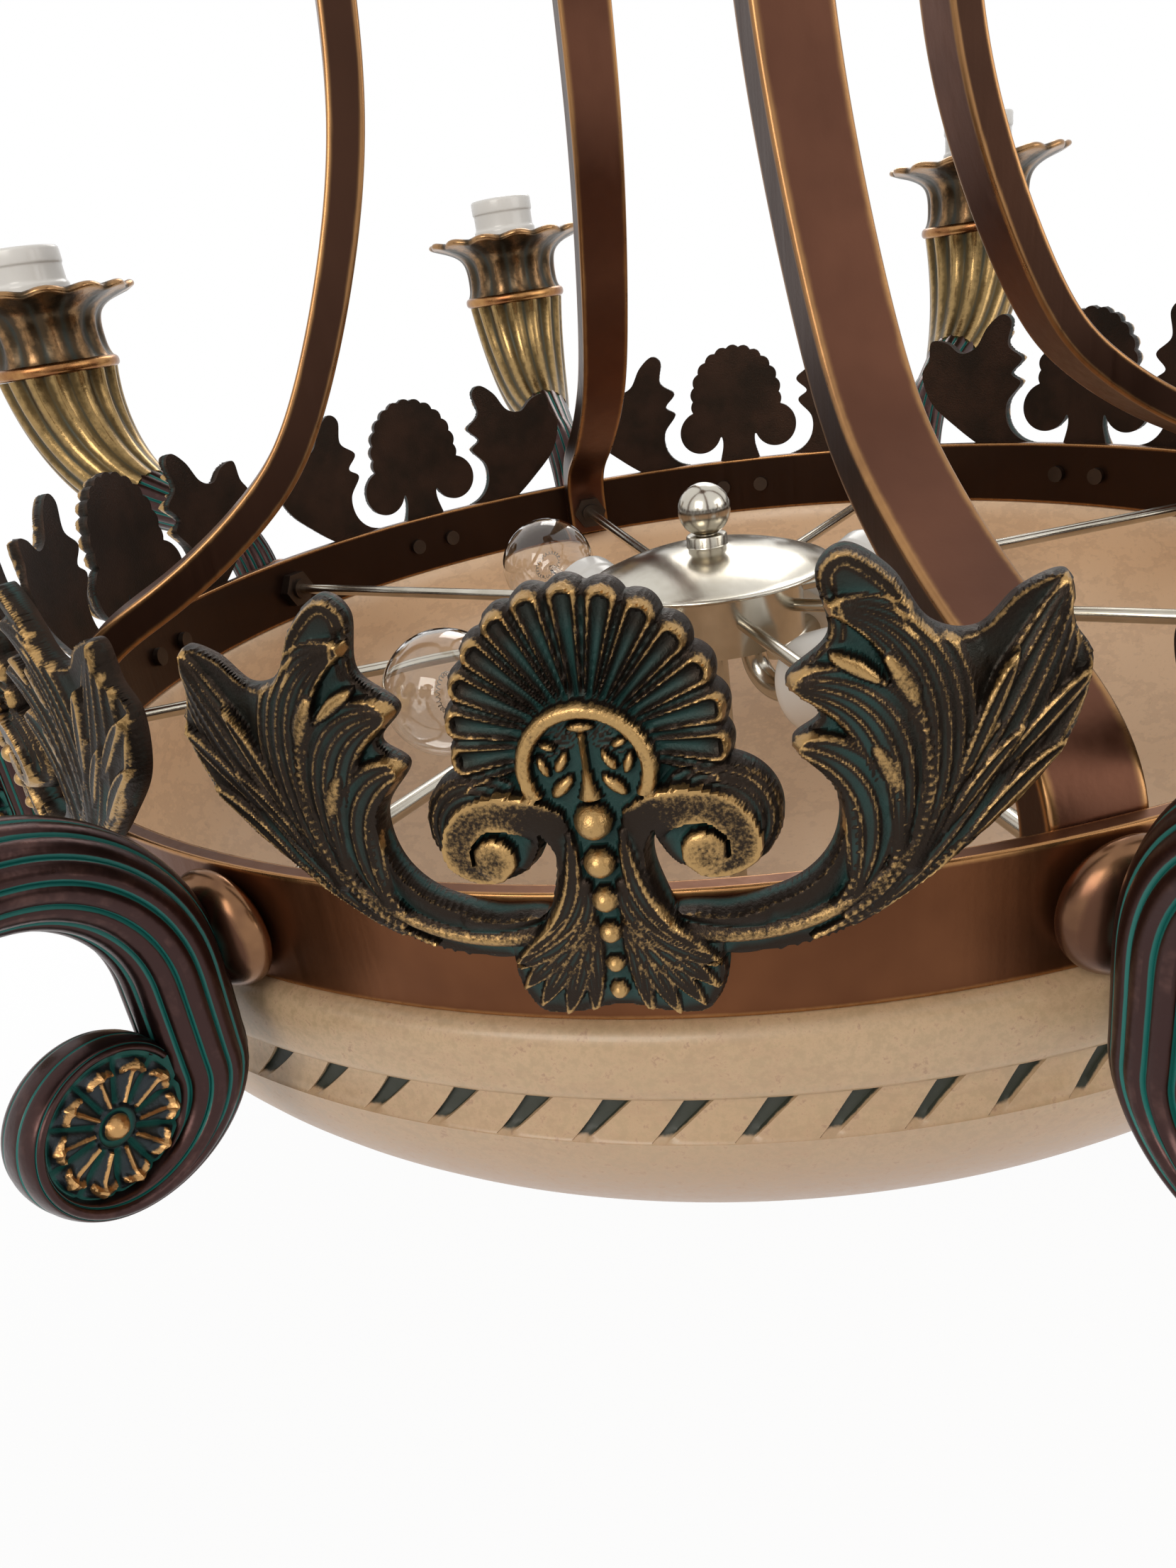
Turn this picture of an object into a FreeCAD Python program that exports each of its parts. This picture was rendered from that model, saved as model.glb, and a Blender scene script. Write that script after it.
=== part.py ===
"""Brass chandelier with a stone bowl, eight cornucopia arms and eight cast palmette ornaments.

Millimetres, +Z up. The origin is the centre of the mounting bar's top face, where it meets the ceiling,
so everything hangs below it. Heights named *_height or h are counted from the top edge of the ring.
"""
import FreeCAD, Part
import math
import os

# Suspension
suspension_drop = 520.0
bar_length = 100.0
bar_width = 22.0
bar_thickness = 3.0
bar_screw_spacing = 84.0
bar_screw_hole = 5.5
stem_diameter = 13.0
stem_bore = 8.0
stem_nut_flats = 22.0
stem_nut_thickness = 8.0
canopy_diameter = 190.0
canopy_depth = 40.0
canopy_wall = 1.2
canopy_lip = 3.0
canopy_fullness = 0.72
canopy_ceiling_gap = 0.3
collar_diameter = 26.0
collar_height = 14.0
collar_chamfer = 2.0
slide_clearance = 0.05

# Crown where the straps meet
crown_side = 38.0
crown_height = 34.0
stem_grip = 25.0
crown_screw_diameter = 5.0
crown_screw_head = 9.0
crown_screw_head_thickness = 3.0
crown_screw_pitch = 18.0
crown_screw_depth = 9.0

# Ring
ring_diameter = 500.0
ring_wall = 4.5
ring_height = 30.5

# Straps
strap_width = 22.0
strap_thickness = 12.0
strap_foot = 27.0
strap_bend_start = -9.0
strap_rise = 400.0
strap_lean_start = 11.0
strap_poles = [(204.0, 24.0), (162.0, 52.0), (140.0, 76.0), (108.0, 148.0), (101.0, 200.0), (100.0, 262.0)]
strap_lean_end = 330.0
strap_curve_steps = 24

# Arms
arm_count = 8
boss_diameter = 30.0
boss_thickness = 8.0
boss_blank_length = 12.0
boss_seat_diameter = 22.0
boss_fullest = 0.4
arm_diameter = 23.0
arm_seat_depth = 0.6
arm_pad_diameter = 18.0
arch_radius = 39.0
arm_rise_angle = 15.0
arm_run = 41.0
arm_end_diameter = 32.0
roll_drop = 38.2
roll_offset = 26.2
roll_core_diameter = 37.5
roll_width = 10.0
roll_thinning = 1.0
roll_narrowing = 0.32
roll_step = 30.0
roll_steps = 6
rosette_diameter = 31.0
rosette_proud = 1.2
rosette_ball = 8.0
nipple_diameter = 10.0
nipple_hole_clearance = 0.2
nipple_depth = 9.0
nipple_tail = 7.0
nut_flats = 16.0
nut_thickness = 5.0

# Horns and their lamp cups
horn_sweep_radius = 72.0
horn_mouth_diameter = 63.0
horn_swell = 0.8
horn_steps = 5
bead_diameter = 66.5
bead_thickness = 6.5
neck_diameter = 59.0
neck_start = 10.0
neck_end = 24.0
flare_out_share = 0.33
flare_up_share = 0.57
rim_diameter = 105.0
cup_height = 39.0
rim_thickness = 3.0
cup_floor_height = 22.0
cup_well = 4.0
holder_diameter = 40.0
holder_clearance = 0.1
holder_length = 41.0
socket_diameter = 26.6
socket_depth = 26.0

# Cast palmette ornaments
ornament_thickness = 7.0
leaf_thickness = 6.0
leaf_outline = [(12.0, -2.0), (24.0, -1.5), (36.0, 2.0), (42.5, 9.5), (43.0, 20.0), (36.0, 29.5), (41.0, 34.5),
                (35.5, 41.5), (43.0, 48.5), (41.5, 59.5), (46.5, 63.5), (54.0, 58.0), (60.0, 48.5), (68.0, 46.0),
                (75.0, 51.5), (83.0, 53.0), (84.5, 44.0), (88.0, 36.0), (83.0, 21.0), (70.0, 8.0), (57.0, -2.0),
                (43.0, -10.0), (27.0, -13.0), (12.0, -11.0)]
foot_outline = [(0.0, -23.0), (10.0, -25.0), (18.0, -24.0), (21.5, -13.5), (15.0, -8.0), (11.0, 2.0), (9.5, 12.0),
                (14.0, 22.5), (17.0, 30.0), (0.0, 35.0)]
shell_lobes = 13
shell_half_width = 25.0
shell_crown = 28.0
shell_centre_height = 34.5
shell_spread = 104.0
shell_scallop = 1.5
arch_span = 11.4
arch_tube = 1.6
arch_height = 29.9
arch_leg = 0.4
scroll_radius = 12.0
scroll_offset = 22.0
scroll_height = 17.4
scroll_proud = 2.0
scroll_eye_radius = 3.8
scroll_eye_offset = 19.6
scroll_eye_height = 12.9
scroll_eye_proud = 1.5
bead_column = [(19.5, 3.4), (10.9, 3.0), (2.6, 2.6), (-4.9, 2.2), (-12.2, 1.9), (-18.0, 1.9)]
ornament_screw_diameter = 4.0
ornament_screw_head = 8.0
ornament_screw_head_thickness = 2.6
ornament_screw_spacing = 22.0
ornament_screw_height = -15.0
ornament_screw_depth = 5.0

# Hub, spokes and inner lamps
spoke_diameter = 5.0
hub_diameter = 72.0
hub_wall = 6.0
hub_floor = 4.0
hub_top_height = -3.0
hub_depth = 25.0
cover_diameter = 96.0
cover_rim = 1.5
cover_dome = 11.0
cover_fullness = 0.72
cover_boss_diameter = 16.0
cover_boss_height = 4.5
ball_nut_diameter = 20.5
ball_flat_depth = 1.0
rod_diameter = 8.0
rod_top_height = 24.0
turn_clearance = 0.05
seat_gap = 0.3
lamp_count = 4
lamp_tube_diameter = 10.0
lamp_tube_radius = 22.0
lamp_tube_drop = 3.0
lamp_tube_bend = 14.0
lamp_tube_run = 14.0
lamp_tilt = 20.0
inner_holder_diameter = 39.0
inner_holder_length = 45.0
inner_socket_depth = 28.0
bulb_cap_diameter = 26.0
bulb_cap_length = 26.0
bulb_diameter = 45.0
bulb_globe_centre = 30.0

# Stone bowl and what holds it
bowl_arm_gap = 2.9
bowl_rim_band = 18.8
bowl_rim_round = 3.0
bowl_rim_tuck = 1.5
bowl_wall = 12.0
frieze_recess = 4.5
frieze_height = 11.2
bowl_belly_height = -52.0
bowl_belly_depth = 116.0
bowl_land_diameter = 48.0
bowl_hole_diameter = 10.0
washer_diameter = 42.0
washer_thickness = 3.0
finial_diameter = 28.0
finial_length = 30.0
finial_flange_diameter = 24.0
finial_flange_height = 3.0
finial_neck_diameter = 18.0
finial_neck_height = 6.0
finial_tip_diameter = 6.0
finial_fullest = 2.0
rod_tail = 14.0

# Margin by which cutting tools run past what they cut
tool_reach = 100.0

# Values worked out from the sizes above
ring_top = -suspension_drop
ring_radius = ring_diameter / 2
ring_inner = ring_radius - ring_wall
fixing_height = -ring_height / 2
sector = 360.0 / arm_count
strap_count = arm_count // 2
strap_foot_radius = ring_inner - strap_thickness / 2
strap_top_radius = (crown_side + strap_thickness) / 2
boss_face = ring_radius + boss_thickness
stem_line = boss_face + arm_diameter / 2 - arm_seat_depth
hub_floor_height = hub_top_height - hub_depth
bowl_rim_radius = stem_line - arm_diameter / 2 - bowl_arm_gap
bowl_belly_radius = bowl_rim_radius
bowl_bottom_height = bowl_belly_height - bowl_belly_depth

ORIGIN = FreeCAD.Vector(0, 0, 0)
UP = FreeCAD.Vector(0, 0, 1)
OUT = FreeCAD.Vector(1, 0, 0)
SIDE = FreeCAD.Vector(0, 1, 0)


def at(radius, height, side=0.0):
    """Point at a distance from the lamp's axis and a height above the ring's top edge."""
    return FreeCAD.Vector(radius, side, ring_top + height)


def profile_face(start, *steps):
    """Face in the XZ plane: a step is a corner (radius, z), or a pair of points for an arc through the first."""
    here = start
    edges = []
    for step in steps + (start,):
        if isinstance(step[0], tuple):
            through, end = step
            points = [FreeCAD.Vector(r, 0, z) for r, z in (here, through, end)]
            edges.append(Part.Arc(*points).toShape())
            here = end
        elif step != here:
            edges.append(Part.makeLine(FreeCAD.Vector(here[0], 0, here[1]), FreeCAD.Vector(step[0], 0, step[1])))
            here = step
    return Part.Face(Part.Wire(edges))


def turned(start, *steps):
    """Solid of revolution about the lamp's axis."""
    return profile_face(start, *steps).revolve(ORIGIN, UP, 360)


def rod_along_x(radius, first, last, height, side=0.0):
    """Round bar along X between two distances from the axis, at a height above the ring's top edge."""
    return Part.makeCylinder(radius, last - first, at(first, height, side), OUT)


def hexagon_along_x(flats, first, last, height):
    """Hexagonal bar along X, by its width across flats."""
    corner = flats / 2 / math.cos(math.pi / 6)
    corners = []
    for i in range(7):
        angle = i * math.pi / 3
        corners.append(at(first, height + corner * math.sin(angle), corner * math.cos(angle)))
    return Part.Face(Part.makePolygon(corners)).extrude(FreeCAD.Vector(last - first, 0, 0))


def turned_about_z(shape, degrees):
    """Copy of a shape turned about the lamp's axis."""
    copy = shape.copy()
    copy.rotate(ORIGIN, UP, degrees)
    return copy


def around(shape, count, start=0.0):
    """Copies of a shape spaced evenly about the lamp's axis."""
    return [turned_about_z(shape, start + i * 360.0 / count) for i in range(count)]


def mirrored(shape):
    """Copy of a shape on the other side of the XZ plane."""
    return shape.mirror(ORIGIN, SIDE)


def mounting_bar():
    """Flat steel bar on the ceiling, with two screw holes and the stem's hole."""
    bar = Part.makeBox(bar_length, bar_width, bar_thickness,
                       FreeCAD.Vector(-bar_length / 2, -bar_width / 2, -bar_thickness))
    hole = Part.makeCylinder(bar_screw_hole / 2, bar_thickness,
                             FreeCAD.Vector(bar_screw_spacing / 2, 0, -bar_thickness))
    stem_hole = Part.makeCylinder(stem_diameter / 2, bar_thickness, FreeCAD.Vector(0, 0, -bar_thickness))
    return bar.cut([hole, turned_about_z(hole, 180), stem_hole])


def stem():
    """Threaded tube from the mounting bar down into the crown."""
    length = suspension_drop - strap_rise + stem_grip
    start = FreeCAD.Vector(0, 0, -length)
    return Part.makeCylinder(stem_diameter / 2, length, start).cut(
        Part.makeCylinder(stem_bore / 2, length, start))


def stem_nut():
    """Hexagonal nut on the stem, under the mounting bar."""
    corner = stem_nut_flats / 2 / math.cos(math.pi / 6)
    corners = [FreeCAD.Vector(corner * math.cos(i * math.pi / 3), corner * math.sin(i * math.pi / 3),
                              -bar_thickness - stem_nut_thickness) for i in range(7)]
    nut = Part.Face(Part.makePolygon(corners)).extrude(UP * stem_nut_thickness)
    return nut.cut(Part.makeCylinder(stem_diameter / 2, stem_nut_thickness, corners[0] - OUT * corner))


def canopy():
    """Spun dish that hides the mounting bar, with a turned-up lip and a hole for the stem."""
    rim = canopy_diameter / 2
    top = -canopy_ceiling_gap
    lip = top - canopy_lip
    bottom = -canopy_depth
    hole = stem_diameter / 2 + slide_clearance
    flat = collar_diameter / 2
    wide = rim - canopy_wall
    middle = (rim + flat) / 2
    sag = lip + (bottom - lip) * canopy_fullness
    return turned((hole, bottom), (flat, bottom), ((middle, sag), (rim, lip)), (rim, top), (wide, top),
                  (wide, lip), ((middle, sag + canopy_wall), (flat, bottom + canopy_wall)),
                  (hole, bottom + canopy_wall))


def canopy_collar():
    """Turned collar under the canopy, which slides on the stem and carries the canopy."""
    top = -canopy_depth
    bottom = top - collar_height
    bore = stem_diameter / 2 + slide_clearance
    rim = collar_diameter / 2
    shoulder = rim - collar_chamfer
    return turned((bore, top), (shoulder, top), (rim, top - collar_chamfer), (rim, bottom + collar_chamfer),
                  (shoulder, bottom), (bore, bottom))


def crown():
    """Square block that the four straps are screwed to, with the stem screwed into its top."""
    height = ring_top + strap_rise - crown_height
    half = crown_side / 2
    block = Part.makeBox(crown_side, crown_side, crown_height, FreeCAD.Vector(-half, -half, height))
    grip = Part.makeCylinder(stem_diameter / 2, stem_grip, FreeCAD.Vector(0, 0, ring_top + strap_rise - stem_grip))
    wire_way = Part.makeCylinder(stem_bore / 2, crown_height, FreeCAD.Vector(0, 0, height))
    return block.cut([grip, wire_way] + crown_screws())


def crown_screw_heights():
    """Heights of the two screws that hold each strap to the crown."""
    middle = strap_rise - crown_height / 2
    return (middle - crown_screw_pitch / 2, middle + crown_screw_pitch / 2)


def crown_screws():
    """Round-headed screws through the straps into the crown, two to a strap."""
    face = crown_side / 2 + strap_thickness
    screws = []
    for height in crown_screw_heights():
        shank = rod_along_x(crown_screw_diameter / 2, crown_side / 2 - crown_screw_depth, face, height)
        head = rod_along_x(crown_screw_head / 2, face, face + crown_screw_head_thickness, height)
        screws += around(shank.fuse(head), strap_count)
    return screws


def strap_line():
    """Centre line of a strap: up out of its foot, in a deep curve, then up to the crown."""
    poles = [at(strap_foot_radius, strap_bend_start), at(strap_foot_radius, strap_lean_start)]
    poles += [at(radius, height) for radius, height in strap_poles]
    poles += [at(strap_top_radius, strap_lean_end), at(strap_top_radius, strap_rise - crown_height)]
    line = Part.BSplineCurve()
    line.buildFromPoles(poles, False, 3)
    return line


def strap_side(line, offset):
    """Curve at a distance from the strap's centre line, straight out along its normals."""
    span = line.LastParameter - line.FirstParameter
    points = []
    for i in range(strap_curve_steps + 1):
        place = line.FirstParameter + span * i / strap_curve_steps
        way = line.tangent(place)[0]
        points.append(line.value(place) + FreeCAD.Vector(way.z, 0, -way.x) * offset)
    side = Part.BSplineCurve()
    side.interpolate(Points=points)
    return side


def strap():
    """Bent flat bar from the inside of the ring up to the crown."""
    line = strap_line()
    half = strap_thickness / 2
    outer = strap_side(line, half)
    inner = strap_side(line, -half)
    corners = [at(strap_foot_radius - half, -strap_foot), at(strap_foot_radius + half, -strap_foot),
               at(strap_top_radius + half, strap_rise), at(strap_top_radius - half, strap_rise)]
    edges = [Part.makeLine(corners[0], corners[1]), Part.makeLine(corners[1], outer.StartPoint), outer.toShape(),
             Part.makeLine(outer.EndPoint, corners[2]), Part.makeLine(corners[2], corners[3]),
             Part.makeLine(corners[3], inner.EndPoint), inner.toShape(),
             Part.makeLine(inner.StartPoint, corners[0])]
    face = Part.Face(Part.Wire(edges))
    face.translate(SIDE * (-strap_width / 2))
    bar = face.extrude(SIDE * strap_width)
    holes = [rod_along_x(crown_screw_diameter / 2, strap_top_radius - half, strap_top_radius + half, height)
             for height in crown_screw_heights()]
    holes.append(rod_along_x(nipple_diameter / 2 + nipple_hole_clearance, strap_foot_radius - half,
                             strap_foot_radius + half, fixing_height))
    inside_ring = Part.makeCylinder(ring_inner, strap_rise + strap_foot, at(0, -strap_foot))
    return bar.common(inside_ring).cut(holes)


def ring():
    """Flat brass band, drilled for the arms' nipples and the ornaments' screws."""
    low = FreeCAD.Vector(0, 0, ring_top - ring_height)
    band = Part.makeCylinder(ring_radius, ring_height, low).cut(Part.makeCylinder(ring_inner, ring_height, low))
    arm_hole = rod_along_x(nipple_diameter / 2 + nipple_hole_clearance, ring_inner - ring_wall, boss_face,
                           fixing_height)
    holes = around(arm_hole, arm_count)
    for side in (-ornament_screw_spacing / 2, ornament_screw_spacing / 2):
        hole = rod_along_x(ornament_screw_diameter / 2, ring_inner - ring_wall, boss_face, ornament_screw_height, side)
        holes += around(hole, arm_count, sector / 2)
    return band.cut(holes)


def boss():
    """Bun-shaped spacer between the ring and an arm, hollowed to sit on the ring."""
    seat = boss_seat_diameter / 2
    bun = turned((0.0, 0.0), (seat, 0.0),
                 ((boss_diameter / 2, boss_blank_length * boss_fullest), (seat, boss_blank_length)),
                 (0.0, boss_blank_length))
    bun.rotate(ORIGIN, SIDE, 90)
    bun.translate(at(boss_face - boss_blank_length, fixing_height))
    seat_cut = Part.makeCylinder(ring_radius, boss_diameter * 2, at(0, fixing_height - boss_diameter))
    hole = rod_along_x(nipple_diameter / 2, ring_inner, boss_face, fixing_height)
    return bun.cut([seat_cut, hole])


def circle_across(centre, heading, radius):
    """Round section square to a heading in the XZ plane, given in degrees above +X."""
    way = FreeCAD.Vector(math.cos(math.radians(heading)), 0, math.sin(math.radians(heading)))
    return Part.Wire(Part.makeCircle(radius, centre, way))


def arch_end():
    """Where the arm's arch ends and its straight run starts."""
    rise = math.radians(arm_rise_angle)
    return (stem_line + arch_radius * (1 - math.sin(rise)), fixing_height + arch_radius * math.cos(rise))


def run_end():
    """Where the arm meets its horn."""
    rise = math.radians(arm_rise_angle)
    radius, height = arch_end()
    return (radius + arm_run * math.cos(rise), height + arm_run * math.sin(rise))


def roll_section(centre, turn):
    """Oval across the arm's roll at an angle round it from the stem: it thins and narrows as it winds in."""
    core = roll_core_diameter / 2
    inner = roll_offset - arm_diameter / 2
    shrink = math.exp(-roll_thinning * turn)
    outer = core + (roll_offset + arm_diameter / 2 - core) * shrink
    half_width = (roll_width + (arm_diameter - roll_width) * math.exp(-roll_narrowing * turn)) / 2
    outward = FreeCAD.Vector(-math.cos(turn), 0, -math.sin(turn))
    middle = centre + outward * ((outer + inner) / 2)
    oval = Part.Ellipse(middle + SIDE * half_width, middle + outward * ((outer - inner) / 2), middle)
    return Part.Wire(oval.toShape())


def arm():
    """Cast scroll: a rolled volute with rosettes, a stem past the boss, and an arch out to the horn."""
    section = arm_diameter / 2
    centre = at(stem_line + roll_offset, -roll_drop)
    stem_start = circle_across(at(stem_line, -roll_drop), -90, section)
    winding = [roll_section(centre, math.radians(roll_step * i)) for i in range(1, roll_steps + 1)]
    tail = Part.makeLoft([stem_start] + winding, True)
    straight = Part.makeCylinder(section, roll_drop + fixing_height, at(stem_line, -roll_drop))
    half_turn = math.radians((90 + arm_rise_angle) / 2)
    bend_middle = at(stem_line + arch_radius * (1 - math.sin(half_turn)),
                     fixing_height + arch_radius * math.cos(half_turn))
    over = Part.Arc(at(stem_line, fixing_height), bend_middle, at(*arch_end())).toShape()
    arch = Part.Wire([over]).makePipeShell([circle_across(at(stem_line, fixing_height), 90, section)], True, False)
    run = Part.makeCone(section, arm_end_diameter / 2, arm_run, at(*arch_end()), at(*run_end()) - at(*arch_end()))
    face = SIDE * (roll_width / 2)
    drum = Part.makeCylinder(roll_core_diameter / 2, roll_width, centre - face, SIDE)
    rosette = Part.makeCylinder(rosette_diameter / 2, rosette_proud, centre + face, SIDE)
    eye = Part.makeSphere(rosette_ball / 2, centre + face)
    dressing = [rosette, eye, mirrored(rosette), mirrored(eye)]
    pad = rod_along_x(arm_pad_diameter / 2, boss_face, stem_line, fixing_height)
    body = straight.fuse([tail, arch, run, drum, pad] + dressing)
    clear_of_boss = Part.makeBox(boss_diameter, boss_diameter * 2, boss_diameter * 2,
                                 at(boss_face - boss_diameter, fixing_height - boss_diameter, -boss_diameter))
    socket = rod_along_x(nipple_diameter / 2, boss_face, boss_face + nipple_depth, fixing_height)
    return body.cut([clear_of_boss, socket]).removeSplitter()


def horn():
    """Horn that swells along the arm's rising curve, with a bead, a neck and a flared lamp cup."""
    radius, height = run_end()
    rise = math.radians(arm_rise_angle)
    centre = (radius - horn_sweep_radius * math.sin(rise), height + horn_sweep_radius * math.cos(rise))
    sections = []
    for i in range(horn_steps + 1):
        share = i / horn_steps
        heading = arm_rise_angle + (90 - arm_rise_angle) * share
        turn = math.radians(heading)
        place = at(centre[0] + horn_sweep_radius * math.sin(turn), centre[1] - horn_sweep_radius * math.cos(turn))
        size = (arm_end_diameter + (horn_mouth_diameter - arm_end_diameter) * share ** horn_swell) / 2
        sections.append(circle_across(place, heading, size))
    body = Part.makeLoft(sections, True)
    return body.fuse(lamp_cup()).removeSplitter()


def mouth_place():
    """Radius and height of the horn's mouth, where the bead sits."""
    radius, height = run_end()
    rise = math.radians(arm_rise_angle)
    return (radius + horn_sweep_radius * (1 - math.sin(rise)), height + horn_sweep_radius * math.cos(rise))


def lamp_cup():
    """Bead, neck and flared cup on the horn's mouth, with a hollow for the lampholder."""
    mouth = horn_mouth_diameter / 2
    neck = neck_diameter / 2
    rim = rim_diameter / 2
    bore = holder_diameter / 2 + holder_clearance
    top = cup_height + rim_thickness
    flare = (neck + (rim - neck) * flare_out_share, neck_end + (cup_height - neck_end) * flare_up_share)
    cup = turned((0.0, 0.0), (mouth, 0.0), ((bead_diameter / 2, bead_thickness / 2), (mouth, bead_thickness)),
                 (neck, neck_start), (neck, neck_end), (flare, (rim, cup_height)),
                 ((rim, top), (rim - rim_thickness, top)),
                 ((flare[0], flare[1] + rim_thickness), (bore, cup_floor_height + cup_well)),
                 (bore, cup_floor_height), (0.0, cup_floor_height))
    radius, height = mouth_place()
    cup.translate(at(radius, height))
    return cup


def lampholder():
    """White threaded lampholder standing in a horn's cup, open at the top for a lamp cap."""
    radius, height = mouth_place()
    base = at(radius, height + cup_floor_height)
    body = Part.makeCylinder(holder_diameter / 2, holder_length, base)
    socket = Part.makeCylinder(socket_diameter / 2, socket_depth, base + UP * (holder_length - socket_depth))
    return body.cut(socket)


def nut_seat(holds_strap):
    """Distance from the axis of a nut's bearing face: on the strap's flat, or on the ring where the corners touch."""
    if holds_strap:
        return ring_inner - strap_thickness
    corner = nut_flats / 2 / math.cos(math.pi / 6)
    return math.sqrt(ring_inner ** 2 - corner ** 2)


def nipple_inner_end(holds_strap):
    """Distance from the axis of a nipple's inner end."""
    return nut_seat(holds_strap) - nipple_tail


def nipple(holds_strap):
    """Threaded nipple through an arm's boss and the ring, bored for the spoke."""
    first = nipple_inner_end(holds_strap)
    last = boss_face + nipple_depth
    body = rod_along_x(nipple_diameter / 2, first, last, fixing_height)
    return body.cut(rod_along_x(spoke_diameter / 2, first, last, fixing_height))


def nipple_nut(holds_strap):
    """Hexagonal nut on a nipple, inside the ring or the strap's foot."""
    seat = nut_seat(holds_strap)
    body = hexagon_along_x(nut_flats, seat - nut_thickness, seat, fixing_height)
    return body.cut(rod_along_x(nipple_diameter / 2, seat - nut_thickness, seat, fixing_height))


def spoke(holds_strap):
    """Plated rod from the hub's wall into a nipple."""
    last = nut_seat(holds_strap)
    return rod_along_x(spoke_diameter / 2, hub_diameter / 2 - hub_wall, last, fixing_height)


def at_every_arm(make):
    """One piece at each arm: those at even places also go through a strap's foot."""
    return Part.Compound([turned_about_z(make(i % 2 == 0), i * sector) for i in range(arm_count)])


def smooth_outline(points):
    """Closed smooth curve through points (side, height) in the plane that faces +X."""
    curve = Part.BSplineCurve()
    curve.interpolate(Points=[at(0, height, side) for side, height in points], PeriodicFlag=True)
    return Part.Face(Part.Wire(curve.toShape()))


def raised(face, thickness):
    """Plate cut from an outline, bent round the outside of the ring, with a thickness."""
    block = face.extrude(OUT * (ring_radius + tool_reach))
    low = at(0, -tool_reach)
    outside = Part.makeCylinder(ring_radius + thickness, 2 * tool_reach, low)
    return block.common(outside.cut(Part.makeCylinder(ring_radius, 2 * tool_reach, low)))


def shell_outline():
    """Fan of round lobes on an ellipse, closed across its foot."""
    rim = []
    for i in range(2 * shell_lobes + 1):
        angle = math.radians(90 + shell_spread * (1 - i / shell_lobes))
        grow = shell_scallop if i % 2 else 0.0
        rim.append(at(0, shell_centre_height + (shell_crown + grow) * math.sin(angle),
                      (shell_half_width + grow) * math.cos(angle)))
    edges = [Part.Arc(*rim[i:i + 3]).toShape() for i in range(0, 2 * shell_lobes, 2)]
    edges.append(Part.makeLine(rim[-1], rim[0]))
    return Part.Face(Part.Wire(edges))


def ornament():
    """Cast palmette: shell, arch, two scrolls, a column of beads, a leafy foot and two acanthus leaves."""
    leaf = raised(smooth_outline(leaf_outline), leaf_thickness)
    foot_right = foot_outline
    foot_left = [(-side, height) for side, height in reversed(foot_outline[1:-1])]
    foot = raised(smooth_outline(foot_right + foot_left), ornament_thickness)
    shell = raised(shell_outline(), leaf_thickness)
    scroll_face = Part.Face(Part.Wire(Part.makeCircle(scroll_radius, at(0, scroll_height, scroll_offset), OUT)))
    scroll = raised(scroll_face, ornament_thickness + scroll_proud)
    scroll_front = math.sqrt((ring_radius + ornament_thickness + scroll_proud) ** 2 - scroll_eye_offset ** 2)
    eye = Part.makeSphere(scroll_eye_radius, at(scroll_front + scroll_eye_proud - scroll_eye_radius, scroll_eye_height,
                                                scroll_eye_offset))
    front = ring_radius + ornament_thickness
    arch = Part.makeTorus(arch_span, arch_tube, at(front, arch_height), OUT)
    below = Part.makeBox(2 * tool_reach, 2 * tool_reach, tool_reach,
                         at(front - tool_reach, arch_height - arch_leg * arch_span - tool_reach, -tool_reach))
    inside = Part.makeCylinder(ring_radius, 2 * tool_reach, at(0, -tool_reach))
    beads = [Part.makeSphere(size, at(front, height)) for height, size in bead_column]
    body = foot.fuse([shell, leaf, mirrored(leaf), scroll, mirrored(scroll), eye, mirrored(eye),
                      arch.cut(below)] + beads)
    holes = [ornament_screw(side) for side in (-ornament_screw_spacing / 2, ornament_screw_spacing / 2)]
    return body.cut([inside] + holes).removeSplitter()


def ornament_screw(side):
    """Screw from inside the ring into the back of an ornament."""
    seat = math.sqrt(ring_inner ** 2 - side ** 2)
    shank = rod_along_x(ornament_screw_diameter / 2, seat - seat_gap, ring_radius + ornament_screw_depth,
                        ornament_screw_height, side)
    head = rod_along_x(ornament_screw_head / 2, seat - ornament_screw_head_thickness, seat - seat_gap,
                       ornament_screw_height, side)
    return shank.fuse(head)


def ornament_screws():
    """Two screws behind each ornament."""
    screws = []
    for side in (-ornament_screw_spacing / 2, ornament_screw_spacing / 2):
        screws += around(ornament_screw(side), arm_count, sector / 2)
    return Part.Compound(screws)


def hub():
    """Turned cup in the middle of the spokes, which the lamp tubes and the bowl's rod go through."""
    outer = hub_diameter / 2
    inner = outer - hub_wall
    top = ring_top + hub_top_height
    low = ring_top + hub_floor_height
    hole = rod_diameter / 2
    cup = turned((hole, low), (outer, low), (outer, top), (inner, top), (inner, low + hub_floor),
                 (hole, low + hub_floor))
    spokes = around(rod_along_x(spoke_diameter / 2, inner - hub_wall, outer + hub_wall, fixing_height), arm_count)
    tube_hole = Part.makeCylinder(lamp_tube_diameter / 2, hub_floor, at(lamp_tube_radius, hub_floor_height))
    return cup.cut(spokes + around(tube_hole, lamp_count, sector / 2))


def hub_cover():
    """Shallow plated dome over the hub, with a seat for the ball nut."""
    low = ring_top + hub_top_height
    hole = rod_diameter / 2
    seat = cover_boss_diameter / 2
    rim = cover_diameter / 2
    top = low + cover_dome
    middle = (rim + seat) / 2
    return turned((hole, low), (rim, low), (rim, low + cover_rim),
                  ((middle, low + cover_rim + (cover_dome - cover_rim) * cover_fullness), (seat, top)),
                  (seat, top + cover_boss_height), (hole, top + cover_boss_height))


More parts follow.
